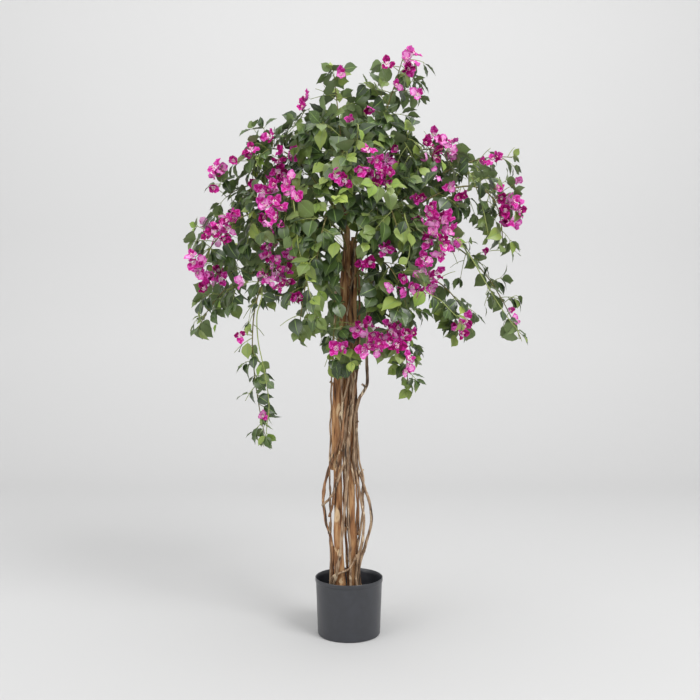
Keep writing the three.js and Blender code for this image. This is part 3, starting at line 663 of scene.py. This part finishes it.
def smooth_object(name, points, faces, materials):
    mesh = bpy.data.meshes.new(name)
    mesh.from_pydata(points, [], faces)
    mesh.polygons.foreach_set("use_smooth", np.ones(len(faces), bool))
    for material in materials:
        mesh.materials.append(material)
    return linked(name, mesh)


class Batch:
    """Faces of four corners on their way into one piece, each with its material's number."""

    def __init__(self):
        self.points, self.faces, self.looks, self.count = [], [], [], 0

    def add(self, points, faces, look):
        self.points.append(points)
        self.faces.append(faces + self.count)
        self.looks.append(np.broadcast_to(look, len(faces)))
        self.count += len(points)

    def piece(self, name, materials, slot, nodes=()):
        piece = smooth_object(name, np.concatenate(self.points) * MM, np.concatenate(self.faces), materials)
        piece.data.polygons.foreach_set("material_index", np.concatenate(self.looks).astype(np.int32))
        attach(piece, "root")
        if nodes:
            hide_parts(*nodes)


def ring_faces(rings, sides):
    i, j = np.meshgrid(np.arange(rings - 1), np.arange(sides), indexing="ij")
    k = (j + 1) % sides
    a, b = i * sides, (i + 1) * sides
    return np.stack([a + j, a + k, b + k, b + j], -1).reshape(-1, 4)


def tube(line, radii, side, sides, relief=None):
    """A tube round a line, nearly closed at both ends. relief takes its points and gives what they rise."""
    tangents = np.gradient(line, axis=0)
    tangents /= np.linalg.norm(tangents, axis=1)[:, None]
    sideways = side - tangents * (tangents @ side)[:, None]
    sideways /= np.linalg.norm(sideways, axis=1)[:, None]
    other = np.cross(sideways, tangents)
    turn = np.arange(sides) * 2 * math.pi / sides
    spoke = sideways[:, None] * np.cos(turn)[:, None] + other[:, None] * np.sin(turn)[:, None]
    radii = np.broadcast_to(np.asarray(radii, float).reshape(len(line), -1), (len(line), sides))
    if relief is not None:
        radii = radii + relief(line[:, None] + spoke * radii[..., None])
    points = line[:, None] + spoke * radii[..., None]
    first, last = line[0] + (points[:1] - line[0]) * 0.02, line[-1] + (points[-1:] - line[-1]) * 0.02
    points = np.concatenate([first, points, last]).reshape(-1, 3)
    return points, ring_faces(len(line) + 2, sides)[:, ::-1]


def any_side(direction):
    steep = abs(direction[2]) > 0.9 * np.linalg.norm(direction)
    return unit(np.cross(direction, (0.31, 0.52, 0.8) if steep else (0, 0, 1)))


def rough(points, scale, stretch_z, offset):
    """Smooth noise at each point, about from -1 to 1."""
    flat = points.reshape(-1, 3) / scale
    flat[:, 2] /= stretch_z
    offset = Vector(offset)
    return np.array([noise.noise(Vector(p) + offset) for p in flat]).reshape(points.shape[:-1])


# Blades: leaves and bracts. The underside leaves out the two columns between the midrib and the edges.
ACROSS = np.array([-1, -0.52, -0.06, 0.06, 0.52, 1])
UNDER_COLUMNS = [0, 2, 3, 5]
LEAF_ROWS = [0, 0.07, 0.2, 0.36, 0.52, 0.67, 0.8, 0.9, 1]
LEAF_WIDTHS = [0.012, 0.17, 0.31, 0.38, 0.37, 0.3, 0.18, 0.07, 0.006]
BRACT_ROWS = [0, 0.12, 0.32, 0.55, 0.78, 0.93, 1]
BRACT_WIDTHS = [0.03, 0.2, 0.36, 0.41, 0.29, 0.11, 0.012]

# Each kind of blade: its fold, its droop, its bend sideways and the waves of its edge.
LEAF_KINDS = [
    (0.3, 0.16, 0.03, 0.05), (0.5, 0.28, -0.04, 0.07), (0.2, 0.4, 0.05, 0.05),
    (0.62, 0.2, -0.03, 0.08), (0.38, 0.5, 0.0, 0.05), (0.15, 0.08, -0.06, 0.06),
]
BRACT_KINDS = [
    (0.45, -0.34, 0.03, 0.2), (0.75, -0.5, -0.05, 0.26), (0.3, 0.16, 0.06, 0.3),
    (0.6, -0.16, -0.03, 0.24), (0.9, -0.26, 0.04, 0.3), (0.5, 0.3, -0.05, 0.24),
]


def blade(rows, widths, fold, droop, bend, wave):
    """Rows of points across a blade one unit long, which lies along +X and faces +Z."""
    v, w = np.array(rows)[:, None], np.array(widths)[:, None]
    u = np.broadcast_to(ACROSS, (len(rows), len(ACROSS)))
    x = v + 0.2 * np.abs(u) * w * (1 - v)
    y = u * w + bend * v**2
    ripple = wave * np.sin(np.arange(len(rows)) * math.pi + math.pi / 2)[:, None] * np.abs(u) * w
    z = fold * np.abs(u) * w - 0.5 * fold * u**2 * w - droop * v**2 + ripple
    return np.stack([x, y, z], -1)


LEAVES = [blade(LEAF_ROWS, LEAF_WIDTHS, *kind) for kind in LEAF_KINDS]
BRACTS = [blade(BRACT_ROWS, BRACT_WIDTHS, *kind) for kind in BRACT_KINDS]

# Numbers of the materials on the pieces of foliage.
DARK, DEEP, MIDDLE, FRESH, YOUNG, YELLOW, MIDRIB, UNDERSIDE, YOUNG_UNDERSIDE = range(9)
BRACT_DARK, BRACT_FULL, BRACT_LIGHT, BRACT_MIDDLE, BRACT_BASE = range(5)
TUBE_BODY, TUBE_STAR = range(2)


def basis(direction, facing):
    along = unit(direction)
    up = unit(facing - along * (facing @ along))
    return np.array([along, np.cross(up, along), up])


def add_blade(batch, points, pose, across, under, thick):
    """Both sides of a blade. across and under are the numbers of the materials on their faces."""
    base, direction, facing, length = pose
    turn = basis(direction, facing)
    below = points[:, UNDER_COLUMNS] - (0, 0, thick)
    for side, looks, order in ((points, across, 1), (below, under, -1)):
        rows, columns = side.shape[:2]
        i, j = np.meshgrid(np.arange(rows - 1), np.arange(columns - 1), indexing="ij")
        a = i * columns + j
        faces = np.stack([a, a + columns, a + columns + 1, a + 1], -1).reshape(-1, 4)
        batch.add(side.reshape(-1, 3) @ turn * length + base, faces[:, ::order], np.ravel(looks))


def add_leaf(batch, pose, look, shape, width):
    """look is the number of the upper side's material. The midrib's and the underside's follow from it."""
    across = np.full((len(LEAF_ROWS) - 1, len(ACROSS) - 1), look)
    across[:-1, 2] = MIDRIB
    under = UNDERSIDE if look < YOUNG else YOUNG_UNDERSIDE
    add_blade(batch, LEAVES[shape % len(LEAVES)] * (1, width, 1), pose, across, under, LEAF_THICK)


def add_bract(batch, pose, look, shape):
    """look is the number of the material inside the cup; its paler rims, and the pale middle of a light
    bract, are painted highlights. Outside it is paler.
    """
    across = np.full((len(BRACT_ROWS) - 1, len(ACROSS) - 1), look)
    # Painted highlight: from the middle to the tip the rims are one tone lighter.
    across[3:, [0, 4]] = min(look + 1, BRACT_LIGHT)
    # Painted highlight: a light bract gets a wide pale patch across its middle.
    if look == BRACT_LIGHT:
        across[2:4, 1:4] = BRACT_MIDDLE
    across[0] = BRACT_BASE
    across[1, 1:4] = BRACT_MIDDLE
    under = np.full((len(BRACT_ROWS) - 1, len(UNDER_COLUMNS) - 1), min(look + 1, BRACT_MIDDLE))
    under[:2] = BRACT_BASE
    add_blade(batch, BRACTS[shape % len(BRACTS)], pose, across, under, BRACT_THICK)


# Twigs and leaves.
def twig_limb(start, reach, arch=TWIG_ARCH):
    tip = start + reach
    control = mix(start, tip, 0.5) + vector(0, 0, arch * np.linalg.norm(reach))
    return Record(at=bent(start, control, tip), side=any_side(reach))


def add_twig(batch, limb, radii, steps, sides=5):
    line = limb.at(np.linspace(0, 1, steps + 1))
    batch.add(*tube(line, np.linspace(*radii, steps + 1), limb.side, sides), 0)


def step_of(pick, bounds):
    """How many of the bounds a number reaches."""
    return sum(pick >= bound for bound in bounds)


def shade_for(random, share, young):
    """A leaf's material, by chance. Towards a spray's tip it is lighter."""
    if young:
        return FRESH if random() < YOUNG_BOUNDS[0] else YOUNG if random() < YOUNG_BOUNDS[1] else YELLOW
    return step_of(random() + SHADE_GAIN * (share - 0.5), SHADE_BOUNDS)


def hang_leaf(out, limb, t, turn, opening, length, look, random):
    base = point_of(limb, t)
    lean = opened_from(limb, t, opening, turn) + vector(0, 0, -LEAF_DROOP)
    direction = unit(lean + LEAF_ASTRAY * scattered(random))
    facing = FACING_OUT * outward_from(base) + vector(0, 0, FACING_UP) + FACING_ASTRAY * scattered(random)
    foot = base + direction * PETIOLE * length / LEAF_LENGTH
    if not leaf_allowed(foot + direction * length * 0.5) or not in_limits(foot + direction * length):
        return
    bend = mix(base, foot, 0.5) + vector(0, 0, PETIOLE_ARCH)
    stalk = Record(at=bent(base, bend, foot), side=any_side(direction))
    add_twig(out.twigs, stalk, PETIOLE_RADII, 2, 4)
    pose = (foot, direction, facing, length)
    add_leaf(out.leaves, pose, look, int(random() * ANY_SHAPE), LEAF_BREADTH + BREADTH_VARIES * random())


def leaf_allowed(place):
    """False at the bare part of the trunk and before it, where the sky shows, and before blossom."""
    x, y, z = place
    if z < TRUNK_TOP and math.hypot(x, y) < TRUNK_CLEAR:
        return False
    if y < 0 and BARE_LEFT < x < BARE_RIGHT and any(low < z < high for low, high in BARE_BANDS):
        return False
    columns, rows = shown(place[None])
    if (np.hypot(SKIES[:, 0] - columns[0], SKIES[:, 1] - rows[0]) < SKIES[:, 2]).any():
        return False
    offset = place - CLEARED.middles
    ahead = (offset * CLEARED.outwards).sum(1)
    aside = np.linalg.norm(offset - ahead[:, None] * CLEARED.outwards, axis=1)
    return not ((ahead > CLEAR_FROM) & (ahead < CLEAR_TO) & (aside < CLEARED.radii)).any()


def in_limits(place):
    return bool(np.all(place > LEAST) and np.all(place < MOST))


def leafy_twig(out, start, reach, share, random, scale):
    while not in_limits(start + reach):
        reach = reach * TWIG_SHORTENED
    limb = twig_limb(start, reach)
    length = np.linalg.norm(reach)
    add_twig(out.twigs, limb, TWIG_RADII, 5)
    count = max(1, round(length / LEAF_EVERY))
    first = random() * 360
    for i in range(count):
        t = mix(*LEAVES_ALONG, (i + 0.5 * random()) / count)
        size = LEAF_LENGTH * scale * mix(*LEAF_SIZES, t) * varied(random, LEAF_VARIES)
        look = shade_for(random, share, False)
        hang_leaf(out, limb, t, first + i * TURN, LEAF_OPENING, size, look, random)
    tuft(out, limb, share, random, scale)
    for t in SIDE_TWIG_PLACES[: step_of(length, FORK_LENGTHS)]:
        side_twig(out, limb, t, first + 90, share, random, scale)


def side_twig(out, limb, t, turn, share, random, scale):
    """A short twig with one leaf and a tuft."""
    reach = opened_from(limb, t, SIDE_TWIG_OPENING, turn + 200 * random()) + vector(0, 0, -SIDE_TWIG_DROOP)
    side = twig_limb(point_of(limb, t), reach * SIDE_TWIG * varied(random, SIDE_TWIG_VARIES))
    add_twig(out.twigs, side, SIDE_TWIG_RADII, 3)
    size = LEAF_LENGTH * scale * SIDE_LEAF * varied(random, LEAF_VARIES)
    turn = 360 * random()
    look = shade_for(random, share, False)
    hang_leaf(out, side, SIDE_LEAF_PLACE, turn, WIDE_OPENING, size, look, random)
    tuft(out, side, share, random, scale)


def leafy_shoot(out, limb, random):
    """A bare shoot with a few small leaves and a tuft at its end."""
    length = length_of(limb)
    add_twig(out.twigs, limb, SHOOT_RADII, max(12, round(length / 8)))
    count = max(2, round(length / SHOOT_LEAF_EVERY))
    for i in range(count):
        size = YOUNG_LENGTH * mix(*SHOOT_SIZES, i / count) * varied(random, TUFT_VARIES)
        look = shade_for(random, SHOOT_SHARE, random() < SHOOT_YOUNG)
        hang_leaf(out, limb, (i + 0.7) / count, i * TURN, WIDE_OPENING, size, look, random)
    tuft(out, limb, SHOOT_SHARE, random, SHOOT_SCALE)


def tuft(out, limb, share, random, scale):
    """Small leaves round the end of a twig, young or not."""
    young = random() < mix(*YOUNG_SHARES, share)
    count = 3 + (random() < 0.4)
    for i in range(count):
        size = scale * YOUNG_LENGTH * (1 if young else TUFT_LEAF) * varied(random, TUFT_VARIES)
        opening = TUFT_OPENING if i else TUFT_END_OPENING
        look = shade_for(random, share, young)
        hang_leaf(out, limb, 0.99, i * 360 / count + 40 * random(), opening, size, look, random)


# Blossom.
def round_about(axis, turn):
    side = any_side(axis)
    return side * math.cos(turn) + np.cross(axis, side) * math.sin(turn)


def flower(out, base, axis, size, random):
    """Three bracts in a cup, with a tube before each and a star on its tip."""
    axis = unit(axis)
    side = any_side(axis)
    first = random() * 2 * math.pi
    shade = random()
    opening = math.radians(mix(*BRACT_OPENINGS, random()))
    for k in range(3):
        spoke = round_about(axis, first + k * 2 * math.pi / 3 + 0.3 * (random() - 0.5))
        direction = axis * math.cos(opening) + spoke * math.sin(opening) + BRACT_ASTRAY * scattered(random)
        facing = axis * math.sin(opening) - spoke * math.cos(opening) + BRACT_TWIST * scattered(random)
        length = size * varied(random, BRACT_VARIES)
        look = step_of(mix(random(), shade, FLOWER_ALIKE), BRACT_BOUNDS)
        pose = (base + spoke * BRACT_ASIDE, direction, facing, length)
        add_bract(out.bracts, pose, look, int(random() * ANY_SHAPE))
        tip = base + axis * size * TUBE_LENGTH + spoke * size * TUBE_ASIDE
        out.tubes.add(*tube(np.linspace(base, tip, 3), TUBE_RADII, side, 4), TUBE_BODY)
        star = np.array([tip + axis * rise for rise in STAR_HEIGHTS])
        out.tubes.add(*tube(star, STAR_RADII, side, 5), TUBE_STAR)


def cluster(out, c, random):
    """Flowers close together round a cluster's middle, on stalks from the end of its twig behind them."""
    hub = c.middle - c.outward * c.size * HUB_BEHIND
    add_twig(out.twigs, twig_limb(c.start, hub - c.start, CLUSTER_ARCH), CLUSTER_TWIG_RADII, 6)
    first = random() * 360
    for k in range(c.flowers):
        spoke = round_about(c.outward, math.radians(first + k * TURN))
        aside = CLUSTER_PITCH * math.sqrt(k)
        base = c.middle + c.size * (spoke * aside - c.outward * (0.2 * aside + 0.4 * random()))
        axis = unit(c.outward + spoke * aside + CLUSTER_ASTRAY * scattered(random))
        out.twigs.add(*tube(np.linspace(hub, base, 3), FLOWER_STALK_RADII, any_side(axis), 4), 0)
        flower(out, base, axis, c.size * varied(random, FLOWER_VARIES), random)


# Materials.
def linear(colour):
    """The linear values of a colour whose red, green and blue are steps out of 255."""
    low = [c / 255 / 12.92 for c in colour]
    high = [((c / 255 + 0.055) / 1.055) ** 2.4 for c in colour]
    return tuple(a if c < 10.3 else b for c, a, b in zip(colour, low, high)) + (1,)


def grey(value):
    return (value, value, value, 1)


class Look:
    """A material under construction, by nodes that end in its shader."""

    def __init__(self, name):
        self.material = bpy.data.materials.new(name)
        self.material.use_nodes = True
        self.nodes = self.material.node_tree.nodes
        self.link = self.material.node_tree.links.new
        self.shader = self.nodes["Principled BSDF"]

    def set(self, socket, value):
        self.shader.inputs[socket].default_value = value

    def feed(self, socket, source):
        self.link(source, self.shader.inputs[socket])

    def add(self, kind, **values):
        node = self.nodes.new("ShaderNode" + kind)
        for socket, value in values.items():
            node.inputs[socket].default_value = value
        return node

    def places(self, height=1):
        """The object's own places, with heights scaled."""
        node = self.add("Mapping", Scale=(1, 1, height))
        self.link(self.add("TexCoord").outputs["Object"], node.inputs["Vector"])
        return node.outputs["Vector"]

    def noise(self, places, scale, detail, distortion=0):
        node = self.add("TexNoise", Scale=scale, Detail=detail, Distortion=distortion)
        self.link(places, node.inputs["Vector"])
        return node.outputs["Fac"]

    def ramp(self, source, stops):
        node = self.add("ValToRGB")
        elements = node.color_ramp.elements
        while len(elements) < len(stops):
            elements.new(0.5)
        for element, (place, colour) in zip(elements, stops):
            element.position = place
            element.color = colour if len(colour) == 4 else linear(colour)
        self.link(source, node.inputs["Fac"])
        return node.outputs["Color"]

    def overlaid(self, factor, below, colour):
        node = self.add("Mix")
        node.data_type = "RGBA"
        self.link(factor, node.inputs["Factor"])
        self.link(below, node.inputs[6])
        node.inputs[7].default_value = linear(colour)
        return node.outputs[2]

    def sum(self, a, b):
        node = self.add("Math")
        node.operation = "ADD"
        self.link(a, node.inputs[0])
        self.link(b, node.inputs[1])
        return node.outputs[0]

    def bump(self, height, strength, distance):
        node = self.add("Bump", Strength=strength, Distance=distance)
        self.link(height, node.inputs["Height"])
        self.feed("Normal", node.outputs["Normal"])


def plain(name, colour, roughness, sheen=0.0, specular=0.5):
    look = Look(name)
    look.set("Base Color", linear(colour))
    look.set("Roughness", roughness)
    look.set("Sheen Weight", sheen)
    look.set("Specular IOR Level", specular)
    return look.material


def bark(name, dark, body, light, patch, patches, scale):
    """Wood with fibres along +Z, furrows darkened with painted shade, and paler patches where the bark has
    peeled.
    """
    look = Look(name)
    long = look.places(0.16)
    fibres = look.noise(long, scale, 5, 0.4)
    fine = look.noise(long, scale * 3.2, 4)
    blotches = look.noise(look.places(0.4), scale * 0.36, 5, 0.8)
    furrows = look.noise(look.places(0.07), scale * 0.75, 3, 0.2)
    tones = look.ramp(fibres, [(0.3, dark), (0.46, body), (0.64, light)])
    peeled = look.ramp(blotches, [(patches, grey(0)), (patches + 0.035, grey(1))])
    # Painted shade: in the furrows the colour falls to a darker copy of the dark tone.
    deep = look.ramp(furrows, [(0.34, grey(1)), (0.41, grey(0))])
    pale = look.overlaid(peeled, tones, patch)
    look.feed("Base Color", look.overlaid(deep, pale, [c * 0.55 for c in dark]))
    look.feed("Roughness", look.ramp(fine, [(0.3, grey(0.66)), (0.7, grey(0.88))]))
    look.bump(look.sum(fibres, fine), strength=0.5, distance=0.0012)
    return look.material


def moulded(name, colour, worn):
    """Satin plastic, with a faint grain and paler scuffs."""
    look = Look(name)
    scuffs = look.noise(look.places(), 38, 6, 0.6)
    look.feed("Base Color", look.ramp(scuffs, [(0.4, colour), (0.72, worn)]))
    look.feed("Roughness", look.ramp(scuffs, [(0.35, grey(0.3)), (0.75, grey(0.42))]))
    look.bump(look.noise(look.places(), 900, 2), strength=0.12, distance=0.0004)
    look.set("Specular IOR Level", 0.8)
    return look.material


def crumbly(name, dark, light):
    """Set fill with a broken surface."""
    look = Look(name)
    lumps = look.noise(look.places(), 120, 6)
    look.feed("Base Color", look.ramp(lumps, [(0.4, dark), (0.75, light)]))
    look.set("Roughness", 0.95)
    look.bump(lumps, strength=0.8, distance=0.002)
    return look.material


def backdrop_paint():
    """Matt grey, with painted light and shade: darker on the floor, a little lighter upwards."""
    look = Look("backdrop")
    height = look.add("SeparateXYZ")
    look.link(look.places(0.2), height.inputs["Vector"])
    # Painted light and shade: the floor darker and the wall lighter towards its top, as the lamps fall on
    # them.
    stops = [(0, grey(0.612)), (0.15, grey(0.66)), (0.6, grey(0.69))]
    look.feed("Base Color", look.ramp(height.outputs["Z"], stops))
    look.set("Roughness", 0.95)
    look.set("Specular IOR Level", 0.1)
    return look.material


trunk_bark = bark("trunk_bark", (70, 42, 24), (156, 108, 68), (200, 158, 112), (212, 182, 142), 0.595, 95)
liana_bark = bark("liana_bark", (82, 60, 45), (138, 111, 86), (180, 154, 125), (204, 183, 153), 0.58, 170)
brown_bark = bark("brown_bark", (64, 43, 28), (122, 86, 58), (166, 123, 87), (198, 165, 125), 0.6, 150)
bough_bark = bark("bough_bark", (74, 66, 36), (112, 104, 56), (134, 126, 74), (150, 140, 96), 0.66, 200)

# The looks of the leaves, with colour, roughness, sheen and specular level, and those of the bracts.
LEAF_LOOKS = [
    ("dark", (45, 65, 29), 0.32, 0.06, 0.65),
    ("deep", (68, 90, 40), 0.33, 0.06, 0.65),
    ("middle", (100, 119, 54), 0.34, 0.1, 0.6),
    ("fresh", (125, 144, 62), 0.4, 0.12, 0.5),
    ("young", (129, 157, 62), 0.48, 0.12, 0.5),
    ("yellow", (160, 180, 80), 0.5, 0.12, 0.5),
    ("midrib", (112, 138, 70), 0.5, 0.12, 0.5),
    ("underside", (112, 132, 80), 0.6, 0.12, 0.5),
    ("young_underside", (158, 176, 98), 0.6, 0.12, 0.5),
]
BRACT_LOOKS = {
    "dark": (126, 4, 80),
    "full": (182, 26, 130),
    "light": (210, 86, 176),
    "middle": (234, 160, 214),
    "base": (254, 240, 250),
}
leaf_materials = [plain(f"leaf_{name}", *look) for name, *look in LEAF_LOOKS]
bract_materials = [plain(f"bract_{name}", colour, 0.6, specular=0.15) for name, colour in BRACT_LOOKS.items()]
tube_body = plain("bloom_tube_body", (196, 120, 150), 0.6)
tube_star = plain("bloom_tube_star", (248, 240, 214), 0.6)
twig_green = plain("twig_green", (138, 150, 80), 0.55)
pot_plastic = moulded("pot_plastic", (40, 42, 48), (47, 49, 56))
pot_fill = crumbly("pot_fill", (16, 15, 15), (38, 36, 35))

# The wood as meshes with its bark in relief.
stems = [main_stem(s) for s in MAIN_STEMS]
wood = list(stems)
for row in LIANAS:
    wood.append(liana(row, stems, wood))
carrier = strand(BRANCH_RADII, BRANCH, "branch_right")
lianas = wood[len(stems):] + [carrier]


def trunk_relief(points):
    furrows = rough(points, 7, 9, (3, 1, 0))
    plates = rough(points, 15, 5, (0, 7, 2))
    lumps = rough(points, 26, 2.2, (5, 0, 4))
    return -2.2 * np.clip(-furrows - 0.05, 0, 1) + 0.45 * np.clip(plates * 6, -1, 1) + 1.6 * lumps


def liana_relief(points):
    fine = rough(points, 6, 4, (1, 2, 3))
    coarse = rough(points, 14, 2, (4, 0, 1))
    knots = np.clip(rough(points, 24, 1, (6, 3, 1)) - 0.2, 0, 1)
    return 0.6 * fine + 0.5 * coarse + 2.6 * knots


def bough_relief(points):
    return 0.25 * rough(points, 9, 1, (2, 2, 2))


# Without a seed of its own, noise_vector gives other values at each run.
noise.seed_set(WANDER_SEED)


def wandering(line, seed):
    """A line led a little astray, as crooked as a liana grows."""
    offset = Vector((seed * 1.7, 0, 0))
    astray = np.array([noise.noise_vector(Vector(place) / WANDER_SPAN + offset) for place in line])
    held = np.sin(np.linspace(0, math.pi, len(line)))[:, None] ** 0.4
    return line + WANDER * astray * held


def barked(limb, sides, steps, relief, seed=None):
    shares = np.linspace(0, 1, steps + 1)
    turn = np.arange(sides) * 2 * math.pi / sides
    radii = limb.radius_at(shares[:, None], turn[None])
    line = limb.at(shares) if seed is None else wandering(limb.at(shares), seed)
    return tube(line, radii, limb.side, sides, relief)


def stub(root, reach, radius):
    """The stub of a cut twig, widest at its root and blunt."""
    line = np.array(root, float) + np.array(reach, float) * np.linspace(0, 1, len(STUB_SWELL))[:, None]
    return tube(line, radius * np.array(STUB_SWELL), EAST, 12, liana_relief)


trunk = Batch()
for limb in stems:
    trunk.add(*barked(limb, 56, 420, trunk_relief), 0)
for row in THICK_STRANDS:
    trunk.add(*barked(strand(*row), 40, 300, trunk_relief), 0)
trunk.piece("trunk", [trunk_bark], "stem_wood", [limb.name for limb in stems])

winding = Batch()
for i, limb in enumerate(lianas):
    winding.add(*barked(limb, 14, 220, liana_relief, i), limb.name in BROWN_LIANAS)
for i, row in enumerate(STRANDS):
    winding.add(*barked(strand(*row), 14, 160, liana_relief, STRAND_SEED + i), i not in PALE_STRANDS)
for row in STUBS:
    winding.add(*stub(*row), 0)
winding.piece("lianas", [liana_bark, brown_bark], "liana_wood", [limb.name for limb in lianas])

# The foliage, by spray, gathered in pieces by the side of the crown that it stands on. Each side has the
# starts of its sprays' names.
sprays = [Record(**dict(zip(SPRAY_KEYS, row))) for row in SPRAYS]
SIDES = {
    "left": "left", "right": "right", "top": ("spire", "upper"),
    "front": ("inner", "front", "low"), "back": "back",
}
grown = [(s, spray_limb(s, stems, carrier)) for s in sprays]
FRONT = [(s, limb) for s, limb in grown if not s.name.startswith(SIDES["back"])]
BACK = [(s, limb) for s, limb in grown if s.name.startswith(SIDES["back"]) or s.name == "upper_back"]
clusters = [cluster_at(*place, FRONT) for place in CLUSTERS]
for s, limb in BACK:
    for start, reach in stalks_of(s, mass_stem(s, limb)):
        c = Record(start=start, middle=start + reach, flowers=BACK_BLOOM, size=BRACT_LENGTH)
        c.outward = outward_from(c.middle)
        clusters.append(c)
for column, row, flowers in CLUSTERS:
    if flowers >= BACK_FLOWERS:
        clusters.append(cluster_at(column, row, flowers - 1, grown, BACK_SIDE))
twig_ends = [twig_to(*place, FRONT) for place in TWIG_ENDS]
SKIES = np.array(SKY)
CLEARED = Record(
    middles=np.array([c.middle for c in clusters]),
    outwards=np.array([c.outward for c in clusters]),
    radii=np.array([CLEAR_RADIUS + CLEAR_PER_FLOWER * math.sqrt(c.flowers) for c in clusters]),
)

boughs, twigs, bracts, tubes = Batch(), Batch(), Batch(), Batch()
for side, starts in SIDES.items():
    out = Record(leaves=Batch(), twigs=twigs)
    members = [(s, limb) for s, limb in grown if s.name.startswith(starts)]
    for s, limb in members:
        shares = np.linspace(0, 1, BOUGH_STEPS + 1)
        boughs.add(*tube(limb.at(shares), limb.radius_at(shares, 0), limb.side, 8, bough_relief), 0)
        random = stream(s.seed + LEAF_SEED)
        scale = mix(SMALL_SCALE, 1, min(1, (s.spread - NARROW_SPREAD) / SPREAD_SPAN))
        for twig in twigs_of(s, mass_stem(s, limb)):
            leafy_twig(out, twig.start, twig.reach * TWIG_SHARE, twig.share, random, scale)
        for twig in twig_ends:
            if twig.name == s.name:
                leafy_twig(out, twig.start, twig.reach, END_SHARE, random, END_SCALE)
    if side == "front":
        for places in SHOOTS:
            leafy_shoot(out, shoot_through(places, FRONT), stream(SHOOT_SEED + len(places)))
    out.leaves.piece(f"leaves_{side}", leaf_materials, "leaf", [f"spray_{s.name}" for s, _ in members])
out = Record(twigs=twigs, bracts=bracts, tubes=tubes)
random = stream(CLUSTER_SEED)
for c in clusters:
    cluster(out, c, random)
boughs.piece("boughs", [bough_bark], "green_stem", [f"bough_{s.name}" for s in sprays if s.bough])
twigs.piece("twigs", [twig_green], "green_stem")
bracts.piece("blossom", bract_materials, "bract")
tubes.piece("blossom_tubes", [tube_body, tube_star], "bloom_tube")


# The pot, turned from its profile, and its fill.
def turned(profile, sides):
    turn = np.arange(sides) * 2 * math.pi / sides
    rings = [np.stack([r * np.cos(turn), r * np.sin(turn), np.full(sides, float(z))], -1) for r, z in profile]
    return np.concatenate(rings), ring_faces(len(profile), sides)


def body_radius(height):
    return mix(POT_FOOT_RADIUS, POT_RIM_RADIUS - POT_BAND_PROUD, height / POT_HEIGHT)


def pot_profile():
    """Radii and heights from the middle of the underside, up outside, over the rim and down inside."""
    band = POT_HEIGHT - POT_BAND
    profile = [(CENTRE_HOLE, 0)]
    profile += [(POT_FOOT_RADIUS - within, z) for within, z in POT_FOOT_EDGE]
    profile += [(body_radius(3) - 0.2, 2.6)]
    profile += [(body_radius(z), z) for z in (4, 50, 100, band - 1, band)]
    profile += [(POT_RIM_RADIUS - within, band + above) for within, above in POT_BAND_FOOT]
    profile += [(POT_RIM_RADIUS - within, POT_HEIGHT - below) for within, below in POT_LIP]
    profile += [(body_radius(z) - POT_WALL, z) for z in (band, 60, POT_FLOOR)]
    return profile + [(CENTRE_HOLE, POT_FLOOR)]


def fill_radius(height):
    return body_radius(height) - POT_WALL - FILL_CLEAR


pot = Batch()
pot.add(*turned(pot_profile(), 128), 0)
pot.piece("pot_shell", [pot_plastic], "pot_plastic", ["pot"])

fill = Batch()
inside = fill_radius(FILL_TOP)
rings = [(fill_radius(FILL_FOOT), FILL_FOOT), (inside, 60), (inside, FILL_TOP - 1.5)]
rings += [(inside * share, FILL_TOP) for share in np.linspace(0.99, 0.01, 26)]
points, faces = turned(rings, 96)
top = points[:, 2] > FILL_TOP - 1
points[top, 2] += FILL_HOLLOWS * np.minimum(0, rough(points[top], 9, 1, (0, 3, 1)) - 0.1)
fill.add(points, faces, 0)
fill.piece("pot_core", [pot_fill], "pot_fill", ["pot_fill"])

# The stage, in metres: floor and backdrop in one sweep, lights and camera.
FLOOR_FRONT, BEND_START, BEND_RADIUS = -5, 2.2, 1.6
WALL_TOP = 6
SWEEP_HALF_WIDTH = 7

# Each light's name, place, target, size and power.
LIGHTS = [
    ("key", (3.2, -3.4, 4.7), (0, 0, 0.9), 2.4, 192),
    ("fill", (-3.4, -3.0, 2.2), (0, 0, 0.8), 3.0, 50),
    ("above", (0.4, 0.2, 4.4), (0, 0, 0.6), 3.0, 30),
    ("back", (-0.6, 0.4, 4.4), (0, 3.8, 2.9), 8.0, 112),
]
WORLD_STRENGTH = 0.5


def sweep():
    profile = [(FLOOR_FRONT, 0), (BEND_START, 0)]
    for a in np.linspace(0.1, math.pi / 2, 16):
        profile.append((BEND_START + BEND_RADIUS * math.sin(a), BEND_RADIUS - BEND_RADIUS * math.cos(a)))
    profile.append((BEND_START + BEND_RADIUS, WALL_TOP))
    points = [(x, y, z) for y, z in profile for x in (-SWEEP_HALF_WIDTH, SWEEP_HALF_WIDTH)]
    faces = [(2 * i, 2 * i + 1, 2 * i + 3, 2 * i + 2) for i in range(len(profile) - 1)]
    smooth_object("backdrop", points, faces, [backdrop_paint()])


def area_light(name, place, target, size, power):
    data = bpy.data.lights.new(name, "AREA")
    data.shape, data.size, data.energy = "SQUARE", size, power
    light = linked(name, data)
    light.location = place
    light.rotation_euler = (Vector(target) - Vector(place)).to_track_quat("-Z", "Y").to_euler()


sweep()
for row in LIGHTS:
    area_light(*row)
world = bpy.data.worlds.new("studio")
world.use_nodes = True
world.node_tree.nodes["Background"].inputs["Color"].default_value = (1, 1, 1, 1)
world.node_tree.nodes["Background"].inputs["Strength"].default_value = WORLD_STRENGTH
bpy.context.scene.world = world
bpy.context.scene.view_settings.view_transform = "Standard"

camera_data = bpy.data.cameras.new("camera")
camera_data.lens, camera_data.sensor_width = LENS, SENSOR
camera = linked("camera", camera_data)
camera.location = [place * MM for place in EYE]
camera.rotation_euler = (math.radians(90), 0, 0)
bpy.context.scene.camera = camera
